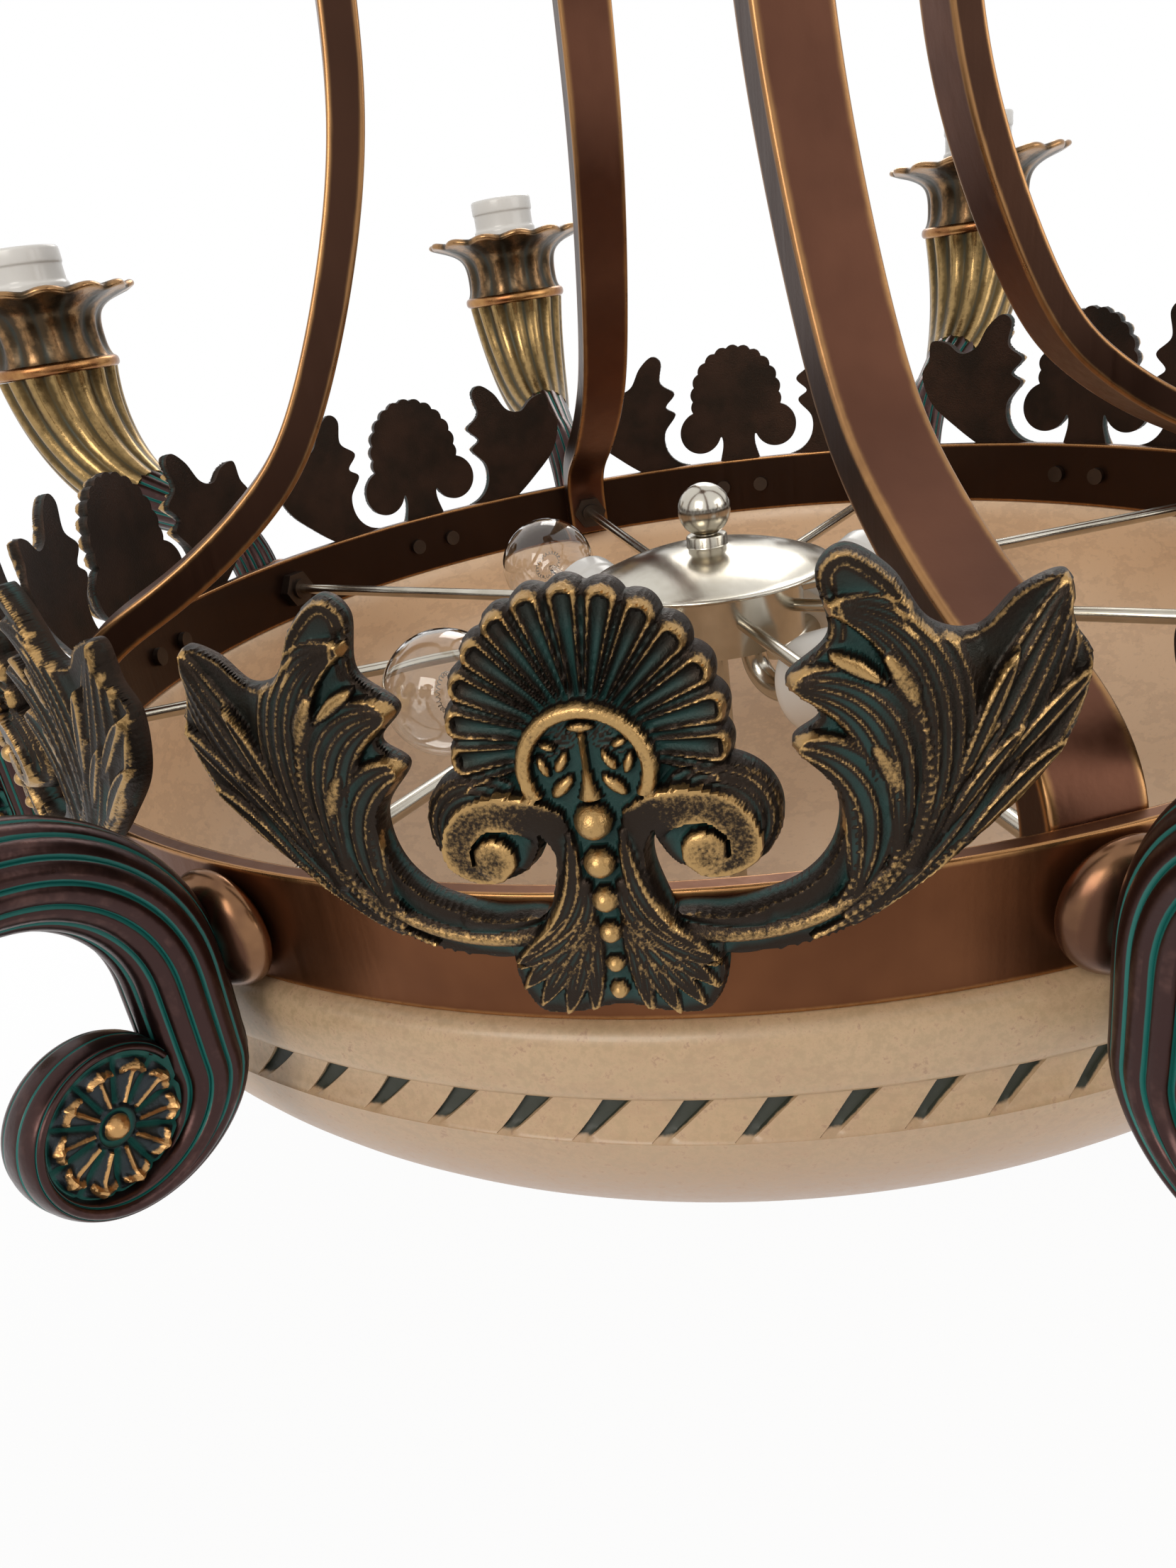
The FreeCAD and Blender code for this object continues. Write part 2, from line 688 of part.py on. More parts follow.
def ball_nut():
    """Plated ball that screws onto the rod's top end and clamps the cover."""
    seat = hub_top_height + cover_dome + cover_boss_height + seat_gap
    size = ball_nut_diameter / 2
    centre = seat + size - ball_flat_depth
    ball = Part.makeSphere(size, at(0, centre))
    below = Part.makeBox(4 * size, 4 * size, 2 * size, at(-2 * size, seat - 2 * size, -2 * size))
    bore = Part.makeCylinder(rod_diameter / 2 + turn_clearance, rod_top_height + seat_gap - seat, at(0, seat))
    return ball.cut([below, bore])


def bowl_rod():
    """Rod down the lamp's axis, from the ball nut through the hub and the bowl to the finial."""
    low = bowl_bottom_height - washer_thickness - rod_tail
    return Part.makeCylinder(rod_diameter / 2, rod_top_height - low, at(0, low))


def bowl():
    """Stone bowl with a rounded rim, a sunk frieze, a deep belly and a hole for the rod."""
    rim = bowl_rim_radius
    top = ring_top - ring_height
    band = top - bowl_rim_band
    sunk = rim - frieze_recess
    frieze = band - frieze_height
    centre = FreeCAD.Vector(0, 0, ring_top + bowl_belly_height)
    land = bowl_land_diameter / 2
    hole = bowl_hole_diameter / 2

    def belly(radius, depth, stop):
        """Quarter ellipse from a height on the belly down to its flat land, as an edge."""
        ellipse = Part.Ellipse(centre + OUT * radius, centre - UP * depth, centre)
        return Part.ArcOfEllipse(ellipse, stop, math.acos(land / radius)).toShape()

    outer = belly(bowl_belly_radius, bowl_belly_depth, math.asin((centre.z - frieze) / bowl_belly_depth))
    inner = belly(bowl_belly_radius - bowl_wall, bowl_belly_depth - bowl_wall, 0.0)
    outer_top, outer_low = (outer.Vertexes[0].Point, outer.Vertexes[-1].Point)
    inner_top, inner_low = (inner.Vertexes[0].Point, inner.Vertexes[-1].Point)

    def corner(radius, z):
        return FreeCAD.Vector(radius, 0, z)

    band_top = corner(rim - bowl_rim_round, top)
    band_low = corner(rim - bowl_rim_tuck, band)
    round_band = Part.Arc(band_top, corner(rim, (top + band) / 2), band_low).toShape()
    edges = [Part.makeLine(corner(inner_top.x, top), band_top), round_band,
             Part.makeLine(band_low, corner(sunk, band)),
             Part.makeLine(corner(sunk, band), corner(sunk, frieze)),
             Part.makeLine(corner(sunk, frieze), outer_top), outer,
             Part.makeLine(outer_low, corner(hole, outer_low.z)),
             Part.makeLine(corner(hole, outer_low.z), corner(hole, inner_low.z)),
             Part.makeLine(corner(hole, inner_low.z), inner_low), inner,
             Part.makeLine(inner_top, corner(inner_top.x, top))]
    return Part.Face(Part.Wire(Part.__sortEdges__(edges))).revolve(ORIGIN, UP, 360)


def bowl_land_height():
    """Height of the flat land under the bowl, where the washer sits."""
    return bowl_belly_height - bowl_belly_depth * math.sqrt(1 - (bowl_land_diameter / 2 / bowl_belly_radius) ** 2)


def bowl_washer():
    """Washer between the bowl and the finial."""
    top = ring_top + bowl_land_height()
    hole = rod_diameter / 2
    rim = washer_diameter / 2
    return turned((hole, top), (rim, top), (rim, top - washer_thickness), (hole, top - washer_thickness))


def finial():
    """Turned knob that screws onto the rod's lower end and holds the bowl up."""
    top = ring_top + bowl_land_height() - washer_thickness - seat_gap
    low = top - finial_length
    bore = rod_diameter / 2 + turn_clearance
    end = ring_top + bowl_bottom_height - washer_thickness - rod_tail - seat_gap
    flange = finial_flange_diameter / 2
    return turned((bore, top), (flange, top), (flange, top - finial_flange_height),
                  (finial_neck_diameter / 2, top - finial_neck_height),
                  ((finial_diameter / 2, (top + low) / 2 - finial_fullest), (finial_tip_diameter / 2, low)),
                  (0.0, low), (0.0, end), (bore, end))


def lamp_axis():
    """Start point and heading of an inner lamp's holder, at the end of its tube."""
    tilt = math.radians(lamp_tilt)
    bend_height = hub_floor_height - lamp_tube_drop
    bend_centre = lamp_tube_radius + lamp_tube_bend
    bend_end = (bend_centre + lamp_tube_bend * math.sin(tilt), bend_height - lamp_tube_bend * math.cos(tilt))
    way = FreeCAD.Vector(math.cos(tilt), 0, math.sin(tilt))
    return at(*bend_end), at(*bend_end) + way * lamp_tube_run, way


def lamp_tube():
    """Bent tube from the hub's floor down and out to an inner lampholder."""
    bend_end, end, way = lamp_axis()
    top = at(lamp_tube_radius, hub_floor_height + hub_floor)
    bend_start = at(lamp_tube_radius, hub_floor_height - lamp_tube_drop)
    turn = math.radians(45 + lamp_tilt / 2)
    middle = at(lamp_tube_radius + lamp_tube_bend * (1 - math.cos(turn)),
                hub_floor_height - lamp_tube_drop - lamp_tube_bend * math.sin(turn))
    path = Part.Wire([Part.makeLine(top, bend_start), Part.Arc(bend_start, middle, bend_end).toShape(),
                      Part.makeLine(bend_end, end)])
    section = Part.Wire(Part.makeCircle(lamp_tube_diameter / 2, top, UP))
    return path.makePipeShell([section], True, False)


def inner_lampholder():
    """White lampholder at the end of a lamp tube."""
    _, base, way = lamp_axis()
    body = Part.makeCylinder(inner_holder_diameter / 2, inner_holder_length, base, way)
    mouth = base + way * (inner_holder_length - inner_socket_depth)
    return body.cut(Part.makeCylinder(socket_diameter / 2, inner_socket_depth, mouth, way))


def bulb():
    """Clear round lamp with its cap seated in an inner lampholder."""
    cap = bulb_cap_diameter / 2
    globe = bulb_diameter / 2
    meet = bulb_globe_centre - math.sqrt(globe ** 2 - cap ** 2)
    body = turned((0.0, -bulb_cap_length), (cap, -bulb_cap_length), (cap, meet),
                  ((globe, bulb_globe_centre), (0.0, bulb_globe_centre + globe)))
    _, base, way = lamp_axis()
    body.rotate(ORIGIN, SIDE, 90 - lamp_tilt)
    body.translate(base + way * (inner_holder_length - inner_socket_depth + bulb_cap_length + seat_gap))
    return body


def build():
    """Every sub-part by its node's name."""
    parts = {
        "mounting_bar": mounting_bar(),
        "stem_nut": stem_nut(),
        "stem": stem(),
        "canopy": canopy(),
        "canopy_collar": canopy_collar(),
        "crown": crown(),
        "crown_screws": Part.Compound(crown_screws()),
        "ring": ring(),
        "ornament_screws": ornament_screws(),
        "arm_nipples": at_every_arm(nipple),
        "arm_nuts": at_every_arm(nipple_nut),
        "spokes": at_every_arm(spoke),
        "lampholders": Part.Compound(around(lampholder(), arm_count)),
        "hub": hub(),
        "hub_cover": hub_cover(),
        "ball_nut": ball_nut(),
        "bowl_rod": bowl_rod(),
        "bowl": bowl(),
        "bowl_washer": bowl_washer(),
        "finial": finial(),
        "lamp_tubes": Part.Compound(around(lamp_tube(), lamp_count, sector / 2)),
        "inner_lampholders": Part.Compound(around(inner_lampholder(), lamp_count, sector / 2)),
        "bulbs": Part.Compound(around(bulb(), lamp_count, sector / 2)),
    }
    repeated = (("strap", strap(), strap_count, 0.0), ("arm", arm(), arm_count, 0.0),
                ("boss", boss(), arm_count, 0.0), ("horn", horn(), arm_count, 0.0),
                ("ornament", ornament(), arm_count, sector / 2))
    for name, shape, count, start in repeated:
        for number, copy in enumerate(around(shape, count, start), start=1):
            parts[f"{name}_{number}"] = copy
    return parts


os.makedirs("parts", exist_ok=True)
for node, shape in build().items():
    solids = shape.Solids
    print(f"{node}: {len(solids)} solid(s), valid {shape.isValid()}, {sum(s.Volume for s in solids) / 1000:.1f} cm3")
    shape.exportStep(f"parts/{node}.step")
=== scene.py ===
# %% [markdown]
# A brass chandelier with a stone bowl. Eight horn-shaped arms and eight cast palmettes stand round a flat
# ring, four bent straps rise to the ceiling, and a polished stone bowl hangs under the ring. The packed
# solids give every size and place, and this lesson dresses them: each piece is a surface worked out with
# numpy in the same frame, and each finish is a small tree of shader nodes.

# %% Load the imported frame
import math
import bmesh
import bpy
import numpy as np
from mathutils import Matrix, Vector
from mathutils.geometry import delaunay_2d_cdt


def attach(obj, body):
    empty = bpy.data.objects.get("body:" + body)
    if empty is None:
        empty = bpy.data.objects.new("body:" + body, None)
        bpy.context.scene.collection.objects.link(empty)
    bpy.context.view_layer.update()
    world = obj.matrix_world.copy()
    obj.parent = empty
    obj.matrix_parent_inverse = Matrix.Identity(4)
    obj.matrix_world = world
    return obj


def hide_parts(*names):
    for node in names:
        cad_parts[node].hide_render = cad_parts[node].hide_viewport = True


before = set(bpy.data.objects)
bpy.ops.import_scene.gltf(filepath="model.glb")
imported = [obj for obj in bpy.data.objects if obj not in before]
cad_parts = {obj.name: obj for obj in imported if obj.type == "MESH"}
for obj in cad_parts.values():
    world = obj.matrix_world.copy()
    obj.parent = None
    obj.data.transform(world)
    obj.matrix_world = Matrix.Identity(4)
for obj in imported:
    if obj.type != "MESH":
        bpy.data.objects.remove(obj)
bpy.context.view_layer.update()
MM = 0.001

# %% [markdown]
# Every piece below is a grid of points joined into four-sided cells. One helper joins a grid, round one way
# or both, and another merges the points that fall together at a pole, turns the faces outwards and hands
# the piece to the frame. Working in millimetres keeps the numbers those of the real lamp.

# %% Grids into pieces
SMOOTH_UNDER = math.radians(42)
MERGE_WITHIN, FLAT_WITHIN = 2e-6, 1e-6


def cells(rows, columns, round_rows=False, round_columns=False):
    """Corner numbers of a grid's cells; a round grid joins its last row or column to the first."""
    number = np.arange(rows * columns).reshape(rows, columns)
    if round_rows:
        number = np.vstack([number, number[:1]])
    if round_columns:
        number = np.hstack([number, number[:, :1]])
    corners = [number[:-1, :-1], number[1:, :-1], number[1:, 1:], number[:-1, 1:]]
    return np.stack(corners, axis=-1).reshape(-1, 4)


def piece(name, points, faces, finish, nodes=(), body="frame", outward=True, **marks):
    """Make one piece from points in millimetres and cell corners, with marks kept as point attributes."""
    flat = np.ascontiguousarray(points, dtype=np.float64).reshape(-1, 3) * MM
    mesh = bpy.data.meshes.new(name)
    mesh.vertices.add(len(flat))
    mesh.vertices.foreach_set("co", flat.ravel())
    mesh.loops.add(faces.size)
    mesh.loops.foreach_set("vertex_index", np.ascontiguousarray(faces, dtype=np.int32).ravel())
    mesh.polygons.add(len(faces))
    mesh.polygons.foreach_set("loop_start", np.arange(len(faces), dtype=np.int32) * faces.shape[1])
    for label, values in marks.items():
        layer = mesh.attributes.new(label, "FLOAT", "POINT")
        layer.data.foreach_set("value", np.broadcast_to(values, points.shape[:-1]).astype(np.float32).ravel())
    mesh.update(calc_edges=True)
    work = bmesh.new()
    work.from_mesh(mesh)
    bmesh.ops.remove_doubles(work, verts=work.verts, dist=MERGE_WITHIN)
    bmesh.ops.dissolve_degenerate(work, edges=work.edges, dist=FLAT_WITHIN)
    if outward:
        bmesh.ops.recalc_face_normals(work, faces=work.faces)
    work.to_mesh(mesh)
    work.free()
    mesh.shade_smooth()
    mesh.set_sharp_from_angle(angle=SMOOTH_UNDER)
    thing = bpy.data.objects.new(name, mesh)
    bpy.context.scene.collection.objects.link(thing)
    mesh.materials.append(finish)
    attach(thing, body)
    if nodes:
        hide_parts(*nodes)
    return thing


# %% [markdown]
# The lamp repeats itself round one axis, so a piece is worked out once and turned into its places. Small
# pieces of one kind are joined into a single object, as their solids are, and the large ones stay apart.

# %% Copies round the axis


def about_axis(points, degrees):
    """Points turned about the lamp's axis: x and y mixed by the sine and cosine of the angle."""
    c, s = math.cos(math.radians(degrees)), math.sin(math.radians(degrees))
    x, y, z = points[..., 0], points[..., 1], points[..., 2]
    return np.stack([c * x - s * y, s * x + c * y, z], axis=-1)


def join_grids(*parts):
    """Stack several (points, faces) pairs into one, shifting each one's corner numbers."""
    points, faces, start = [], [], 0
    for grid, corners in parts:
        flat = np.asarray(grid).reshape(-1, 3)
        points.append(flat)
        faces.append(corners + start)
        start += len(flat)
    return np.vstack(points), np.vstack(faces)


def joined_copies(count, grid, faces, first=0.0):
    """One grid at even angles round the axis, in degrees from the first, as one set of points and faces."""
    return join_grids(*[(about_axis(grid, first + 360 / count * number), faces) for number in range(count)])


def round_axis(count, *kinds, first=0.0):
    """Separate pieces at even angles; a kind is its name, points, faces, finish, node and other settings."""
    for number in range(count):
        for name, points, faces, finish, node, settings in kinds:
            nodes = [f"{node}_{number + 1}"] if node else ()
            place = about_axis(points, first + 360 / count * number)
            piece(f"{name}_{number + 1}", place, faces, finish, nodes, **settings)


# %% [markdown]
# Most metal parts of a lamp are turned on a lathe, bent from bar or cast. These helpers give the forms that
# those ways of making leave: a rounded outline, a profile carried round an axis, a free curve, and a
# section carried along a path. Modifiers could do the same, but as arrays the points can carry wear marks
# worked out with them.

# %% Turned, bent and rounded forms


def bell(distance, width):
    """Bell curve: 1 on a line and exp(-1) at one width from it."""
    return np.exp(-(distance / width) ** 2)


def softened(corners, radius, steps=4):
    """Outline with each corner (x, y, size) rounded by a curve that leaves and meets its two sides."""
    corners = np.asarray(corners, dtype=float)
    size = corners[:, 2:3] * radius
    spot = corners[:, :2]
    back, ahead = np.roll(spot, 1, axis=0) - spot, np.roll(spot, -1, axis=0) - spot
    back_length = np.linalg.norm(back, axis=1, keepdims=True)
    ahead_length = np.linalg.norm(ahead, axis=1, keepdims=True)
    first = spot + back / back_length * np.minimum(size, back_length * 0.49)
    last = spot + ahead / ahead_length * np.minimum(size, ahead_length * 0.49)
    t = np.linspace(0, 1, steps + 1)[None, :, None]
    curve = (1 - t) ** 2 * first[:, None] + 2 * t * (1 - t) * spot[:, None] + t ** 2 * last[:, None]
    return curve.reshape(-1, 2)


def turned(profile, segments, foot=(0.0, 0.0, 0.0)):
    """Closed profile (radius, height) round an upright axis: x = r cos a, y = r sin a; grid and cells."""
    angle = np.linspace(0, 2 * np.pi, segments, endpoint=False)[:, None]
    radius, height = profile[None, :, 0], profile[None, :, 1]
    grid = np.stack([radius * np.cos(angle), radius * np.sin(angle), height + 0 * angle], axis=-1)
    return grid + np.asarray(foot), cells(segments, len(profile), True, True)


def turned_along(profile, segments, origin, way, closed=False):
    """Profile (radius, distance) about any line: origin + distance * way + radius * a circle square to it."""
    first = np.cross(way, (0.0, 1.0, 0.0))
    first /= np.linalg.norm(first)
    second = np.cross(way, first)
    spin = np.linspace(0, 2 * np.pi, segments, endpoint=False)[:, None, None]
    circle = np.cos(spin) * first + np.sin(spin) * second
    grid = np.asarray(origin) + profile[None, :, 1:2] * np.asarray(way) + profile[None, :, :1] * circle
    return grid, cells(segments, len(profile), True, closed)


def clamped_curve(poles, count):
    """Cubic curve that starts and ends on its poles: poles weighted by basis functions built up by degree."""
    poles = np.asarray(poles, dtype=float)
    knots = np.concatenate([np.zeros(3), np.linspace(0, 1, len(poles) - 2), np.ones(3)])
    t = np.linspace(0, 1 - 1e-9, count)[:, None]
    weight = ((knots[:-1] <= t) & (t < knots[1:])).astype(float)
    for degree in (1, 2, 3):
        low, high = knots[:-degree - 1], knots[degree + 1:]
        rise_span, fall_span = knots[degree:-1] - low, high - knots[1:-degree]
        rise = np.divide(t - low, rise_span, out=np.zeros((count, len(low))), where=rise_span > 0)
        fall = np.divide(high - t, fall_span, out=np.zeros((count, len(low))), where=fall_span > 0)
        weight = rise * weight[:, :-1] + fall * weight[:, 1:]
    return weight @ poles


# %% [markdown]
# Sizes that several pieces share. They repeat the sizes of the solids, so a dressed piece sits where its
# solid is.

# %% Shared sizes, in millimetres
RING_TOP = -520.0
RING_RADIUS, RING_WALL, RING_HEIGHT = 250.0, 4.5, 30.5
FIXING = -RING_HEIGHT / 2
ARMS, STRAPS, LAMPS = 8, 4, 4
SECTOR = 360.0 / ARMS
STEM_LINE = 268.9
ARCH_RADIUS, RISE, RUN = 39.0, math.radians(15.0), 41.0
HORN_SWEEP = 72.0
print("ring", RING_RADIUS * 2, "mm across, arms every", SECTOR, "degrees")

# %% [markdown]
# A bent bar or a rolled arm is one section carried along a path that lies in an upright plane through the
# axis.

# %% Sections along a path


def carried(path, across, y):
    """Section along a path of (radius, height): across runs along the path's normals, y beside it."""
    way = np.gradient(path, axis=0)
    way /= np.linalg.norm(way, axis=1, keepdims=True)
    normal = np.stack([way[:, 1], -way[:, 0]], axis=1)
    flat = path[:, None, :] + normal[:, None, :] * across[..., None]
    return np.stack([flat[..., 0], np.broadcast_to(y, flat.shape[:2]), flat[..., 1] + RING_TOP], axis=-1)


def with_ends(grid):
    """Close a tube: add a row at each end with all its points at that end's middle."""
    middle = grid[[0, -1]].mean(axis=1, keepdims=True).repeat(grid.shape[1], axis=1)
    return np.concatenate([middle[:1], grid, middle[1:]])


# %% [markdown]
# Finishes are written as arithmetic. The class below wraps one socket of a material's node tree, so that
# adding or multiplying two of them adds a Math node, and one method makes any other node from its type,
# settings and sockets.

# %% Shader arithmetic


class Wire:
    """One output socket in a material, with arithmetic that adds Math nodes to its tree."""

    def __init__(self, tree, socket=None):
        self.tree, self.socket = tree, socket

    def node(self, kind, settings=None, sockets=None, out=0):
        """Add a node: first its settings, then the numbers or links of its input sockets."""
        made = self.tree.nodes.new(kind)
        for key, value in (settings or {}).items():
            setattr(made, key, value)
        for key, value in (sockets or {}).items():
            if isinstance(value, Wire):
                self.tree.links.new(value.socket, made.inputs[key])
            else:
                made.inputs[key].default_value = value
        return Wire(self.tree, made.outputs[out])

    def math(self, operation, first, second=0.0):
        return self.node("ShaderNodeMath", {"operation": operation}, {0: first, 1: second})

    def __add__(self, other):
        return self.math("ADD", self, other)

    def __radd__(self, other):
        return self.math("ADD", other, self)

    def __sub__(self, other):
        return self.math("SUBTRACT", self, other)

    def __rsub__(self, other):
        return self.math("SUBTRACT", other, self)

    def __mul__(self, other):
        return self.math("MULTIPLY", self, other)

    def __rmul__(self, other):
        return self.math("MULTIPLY", other, self)

    def __pow__(self, other):
        return self.math("POWER", self, other)

    def clip(self):
        return self.node("ShaderNodeClamp", {}, {0: self})

    def sway(self, amount):
        """A noise value moved to swing about zero, by half the amount each way."""
        return (self - 0.5) * amount

    def between(self, low, high):
        """0 below low, 1 above high, and a smooth step between."""
        smooth = {"interpolation_type": "SMOOTHSTEP"}
        return self.node("ShaderNodeMapRange", smooth, {0: self, 1: low, 2: high})

    def mix(self, first, second):
        """Colour that goes from the first to the second as this value goes from 0 to 1."""
        return self.node("ShaderNodeMix", {"data_type": "RGBA"}, {0: self, 6: first, 7: second}, out=2)


def finish_named(name, **constants):
    """New material: its principled shader with constant sockets set, and a wire to start expressions from."""
    material = bpy.data.materials.new(name)
    material.use_nodes = True
    tree = material.node_tree
    shader = tree.nodes["Principled BSDF"]
    for socket, value in constants.items():
        shader.inputs[socket.replace("_", " ")].default_value = value
    return material, Wire(tree), shader


def feed(start, shader, **wires):
    """Link wires to the shader's sockets by name."""
    for socket, wire in wires.items():
        start.tree.links.new(wire.socket, shader.inputs[socket.replace("_", " ")])


def noise(start, scale, detail=3.0, roughness=0.55, stretch=None):
    """Noise over the piece's own place, optionally stretched along X, Y or Z."""
    place = start.node("ShaderNodeTexCoord", out="Object")
    if stretch:
        place = start.node("ShaderNodeMapping", {}, {"Vector": place, "Scale": stretch})
    return start.node("ShaderNodeTexNoise", {}, {"Vector": place, "Scale": scale, "Detail": detail,
                                                  "Roughness": roughness})


def mark(start, name):
    """Value of one of the piece's point attributes."""
    return start.node("ShaderNodeAttribute", {"attribute_name": name}, out="Fac")


def bump(start, height, strength, distance):
    """Normals tilted as if the surface rose by the height."""
    return start.node("ShaderNodeBump", {}, {"Height": height, "Strength": strength, "Distance": distance})


# %% [markdown]
# The band, the straps and the parts above them are brass that was browned and then rubbed, so the flats are
# a satin copper brown with faint cloudy shifts and fine brush lines, and every edge shows gold where the
# brown came off. Edge wear could be found from the geometry while rendering, but a mark on the points sets
# how far it reaches on each edge. A second mark paints shade: it darkens the faces that turn from the
# lamps, such as the bars' narrow sides and the ring's inner face, towards a dark tone.

# %% Browned brass


def browned_brass(name, deep, warm, gold, dark):
    """Brown drifting between two tones, gold where worn, painted shading where marked, and a brushed grain.
    """
    material, start, shader = finish_named(name, Metallic=0.92, IOR=1.5)
    cloud = noise(start, 14.0, 4.0)
    grain = noise(start, 260.0, 2.0, 0.6, (1.0, 1.0, 0.06))
    specks = noise(start, 900.0, 2.0)
    wear = (mark(start, "wear") + cloud.sway(0.35) + grain.sway(0.25)).between(0.3, 0.95)
    brown = cloud.between(0.3, 0.7).mix(deep, warm)
    # Painted shade: the marked faces are pulled towards the dark tone, whatever light falls on them.
    shaded = (mark(start, "shade") * 0.75).mix(brown, dark)
    feed(start, shader, Base_Color=wear.mix(shaded, gold),
         Roughness=0.36 - wear * 0.1 + grain.sway(0.22) + specks.sway(0.06),
         Normal=bump(start, grain + specks * 0.4, 0.08, 0.0006))
    return material


# The dark tones are painted shade, for the faces that the shade mark picks out.
STRAP_BRASS = browned_brass("browned strap brass", deep=(0.098, 0.040, 0.024, 1),
                            warm=(0.150, 0.062, 0.036, 1), gold=(0.46, 0.245, 0.095, 1),
                            dark=(0.030, 0.015, 0.009, 1))
RING_BRASS = browned_brass("browned ring brass", deep=(0.108, 0.039, 0.016, 1),
                           warm=(0.188, 0.072, 0.029, 1), gold=(0.42, 0.21, 0.08, 1),
                           dark=(0.022, 0.013, 0.009, 1))
print("finishes", STRAP_BRASS.name, RING_BRASS.name)

# %% [markdown]
# The arms and ornaments are cast brass with a dark green patina. Rubbing has brought the high places back
# to gold, while the hollows keep a blue-green crust. A rub mark worked out from each relief says how high a
# place stands over its surroundings, and three tones follow it. The same function serves every casting,
# with its own tones.

# %% Patinated casting


def patinated(name, dark, gold, crust, gold_from, gold_to, stipple, plain=None, matt=0.44):
    """Crust in the hollows, dark casting skin on slopes and stippled gold on ridges, by the rub mark."""
    material, start, shader = finish_named(name, IOR=1.5)
    rub = mark(start, "rub")
    patch = noise(start, 45.0, 4.0)
    pits = noise(start, stipple, 3.0, 0.62)
    high = (rub + pits.sway(0.6) + patch.sway(0.25)).between(gold_from, gold_to)
    low = (0.40 - rub + patch.sway(0.5)).between(0.0, 0.34)
    skin = low.mix(dark, crust)
    if plain:
        skin = mark(start, "plain").mix(skin, patch.between(0.3, 0.7).mix(plain, dark))
    feed(start, shader, Base_Color=high.mix(skin, gold), Metallic=(0.9 - low * 0.75).clip(),
         Roughness=matt + low * 0.2 - high * 0.12 + pits.sway(0.2),
         Normal=bump(start, pits + patch * 0.3, 0.35, 0.0005))
    return material


CAST = patinated("patinated casting", dark=(0.026, 0.018, 0.013, 1), gold=(0.43, 0.265, 0.105, 1),
                 crust=(0.006, 0.040, 0.035, 1), gold_from=0.62, gold_to=0.94, stipple=1300.0,
                 plain=(0.050, 0.028, 0.019, 1))
REEDED = patinated("reeded casting", dark=(0.050, 0.026, 0.024, 1), gold=(0.125, 0.065, 0.055, 1),
                   crust=(0.007, 0.140, 0.120, 1), gold_from=0.86, gold_to=1.15, stipple=160.0, matt=0.31)
ROSETTED = patinated("rosette casting", dark=(0.034, 0.040, 0.044, 1), gold=(0.50, 0.28, 0.11, 1),
                     crust=(0.006, 0.095, 0.078, 1), gold_from=0.66, gold_to=0.92, stipple=700.0)
HORN = patinated("rubbed horn brass", dark=(0.095, 0.062, 0.024, 1), gold=(0.36, 0.235, 0.095, 1),
                 crust=(0.026, 0.030, 0.014, 1), gold_from=0.46, gold_to=1.0, stipple=260.0, matt=0.34)
CUP = patinated("rubbed cup brass", dark=(0.060, 0.040, 0.022, 1), gold=(0.34, 0.19, 0.085, 1),
                crust=(0.016, 0.022, 0.014, 1), gold_from=0.52, gold_to=1.0, stipple=260.0, matt=0.34)
TURNED = patinated("turned boss brass", dark=(0.100, 0.045, 0.026, 1), gold=(0.30, 0.155, 0.075, 1),
                   crust=(0.006, 0.085, 0.070, 1), gold_from=0.85, gold_to=1.2, stipple=60.0, matt=0.30)
print("finishes", CAST.name, REEDED.name, ROSETTED.name, HORN.name, CUP.name, TURNED.name)

# %% [markdown]
# The bead rings on the horns, the finial, the washer and the canopy's collar are smooth turned brass with a
# copper tone and soft cloudy wear. They have no hollows to mark, so noise alone gives the change of tone.

# %% Coppery turned brass


def coppery():
    """Copper brown with golden clouds and a low, uneven gloss."""
    material, start, shader = finish_named("coppery brass", Metallic=1.0)
    cloud = noise(start, 60.0, 4.0)
    fine = noise(start, 700.0, 2.0)
    colour = cloud.between(0.35, 0.72).mix((0.22, 0.085, 0.034, 1), (0.50, 0.27, 0.10, 1))
    feed(start, shader, Base_Color=colour, Roughness=0.27 + cloud.sway(0.25) + fine.sway(0.1),
         Normal=bump(start, fine, 0.05, 0.0004))
    return material


COPPERY = coppery()
print("finish", COPPERY.name)

# %% [markdown]
# The bowl is polished stone: cream and tan with fine brown specks, browner and darker towards its foot,
# partly its own warmer tone and partly painted shade under the rim, paler inside as painted light, and
# with a thin gloss. The sunk frieze has dark green strokes in its slanted hollows, so the finish reads
# marks that the bowl's own surface carries.

# %% Polished stone
CREAM, PALE_CREAM, GRAIN = (0.56, 0.365, 0.215, 1), (0.69, 0.475, 0.29, 1), (0.47, 0.325, 0.185, 1)
LOW_STONE_AND_SHADE, PAINTED_LIGHT_INNER_STONE = (0.35, 0.195, 0.115, 1), (0.88, 0.63, 0.41, 1)
SPECK, VEIN, OLD_PAINT = (0.40, 0.25, 0.15, 1), (0.42, 0.25, 0.15, 1), (0.024, 0.027, 0.016, 1)


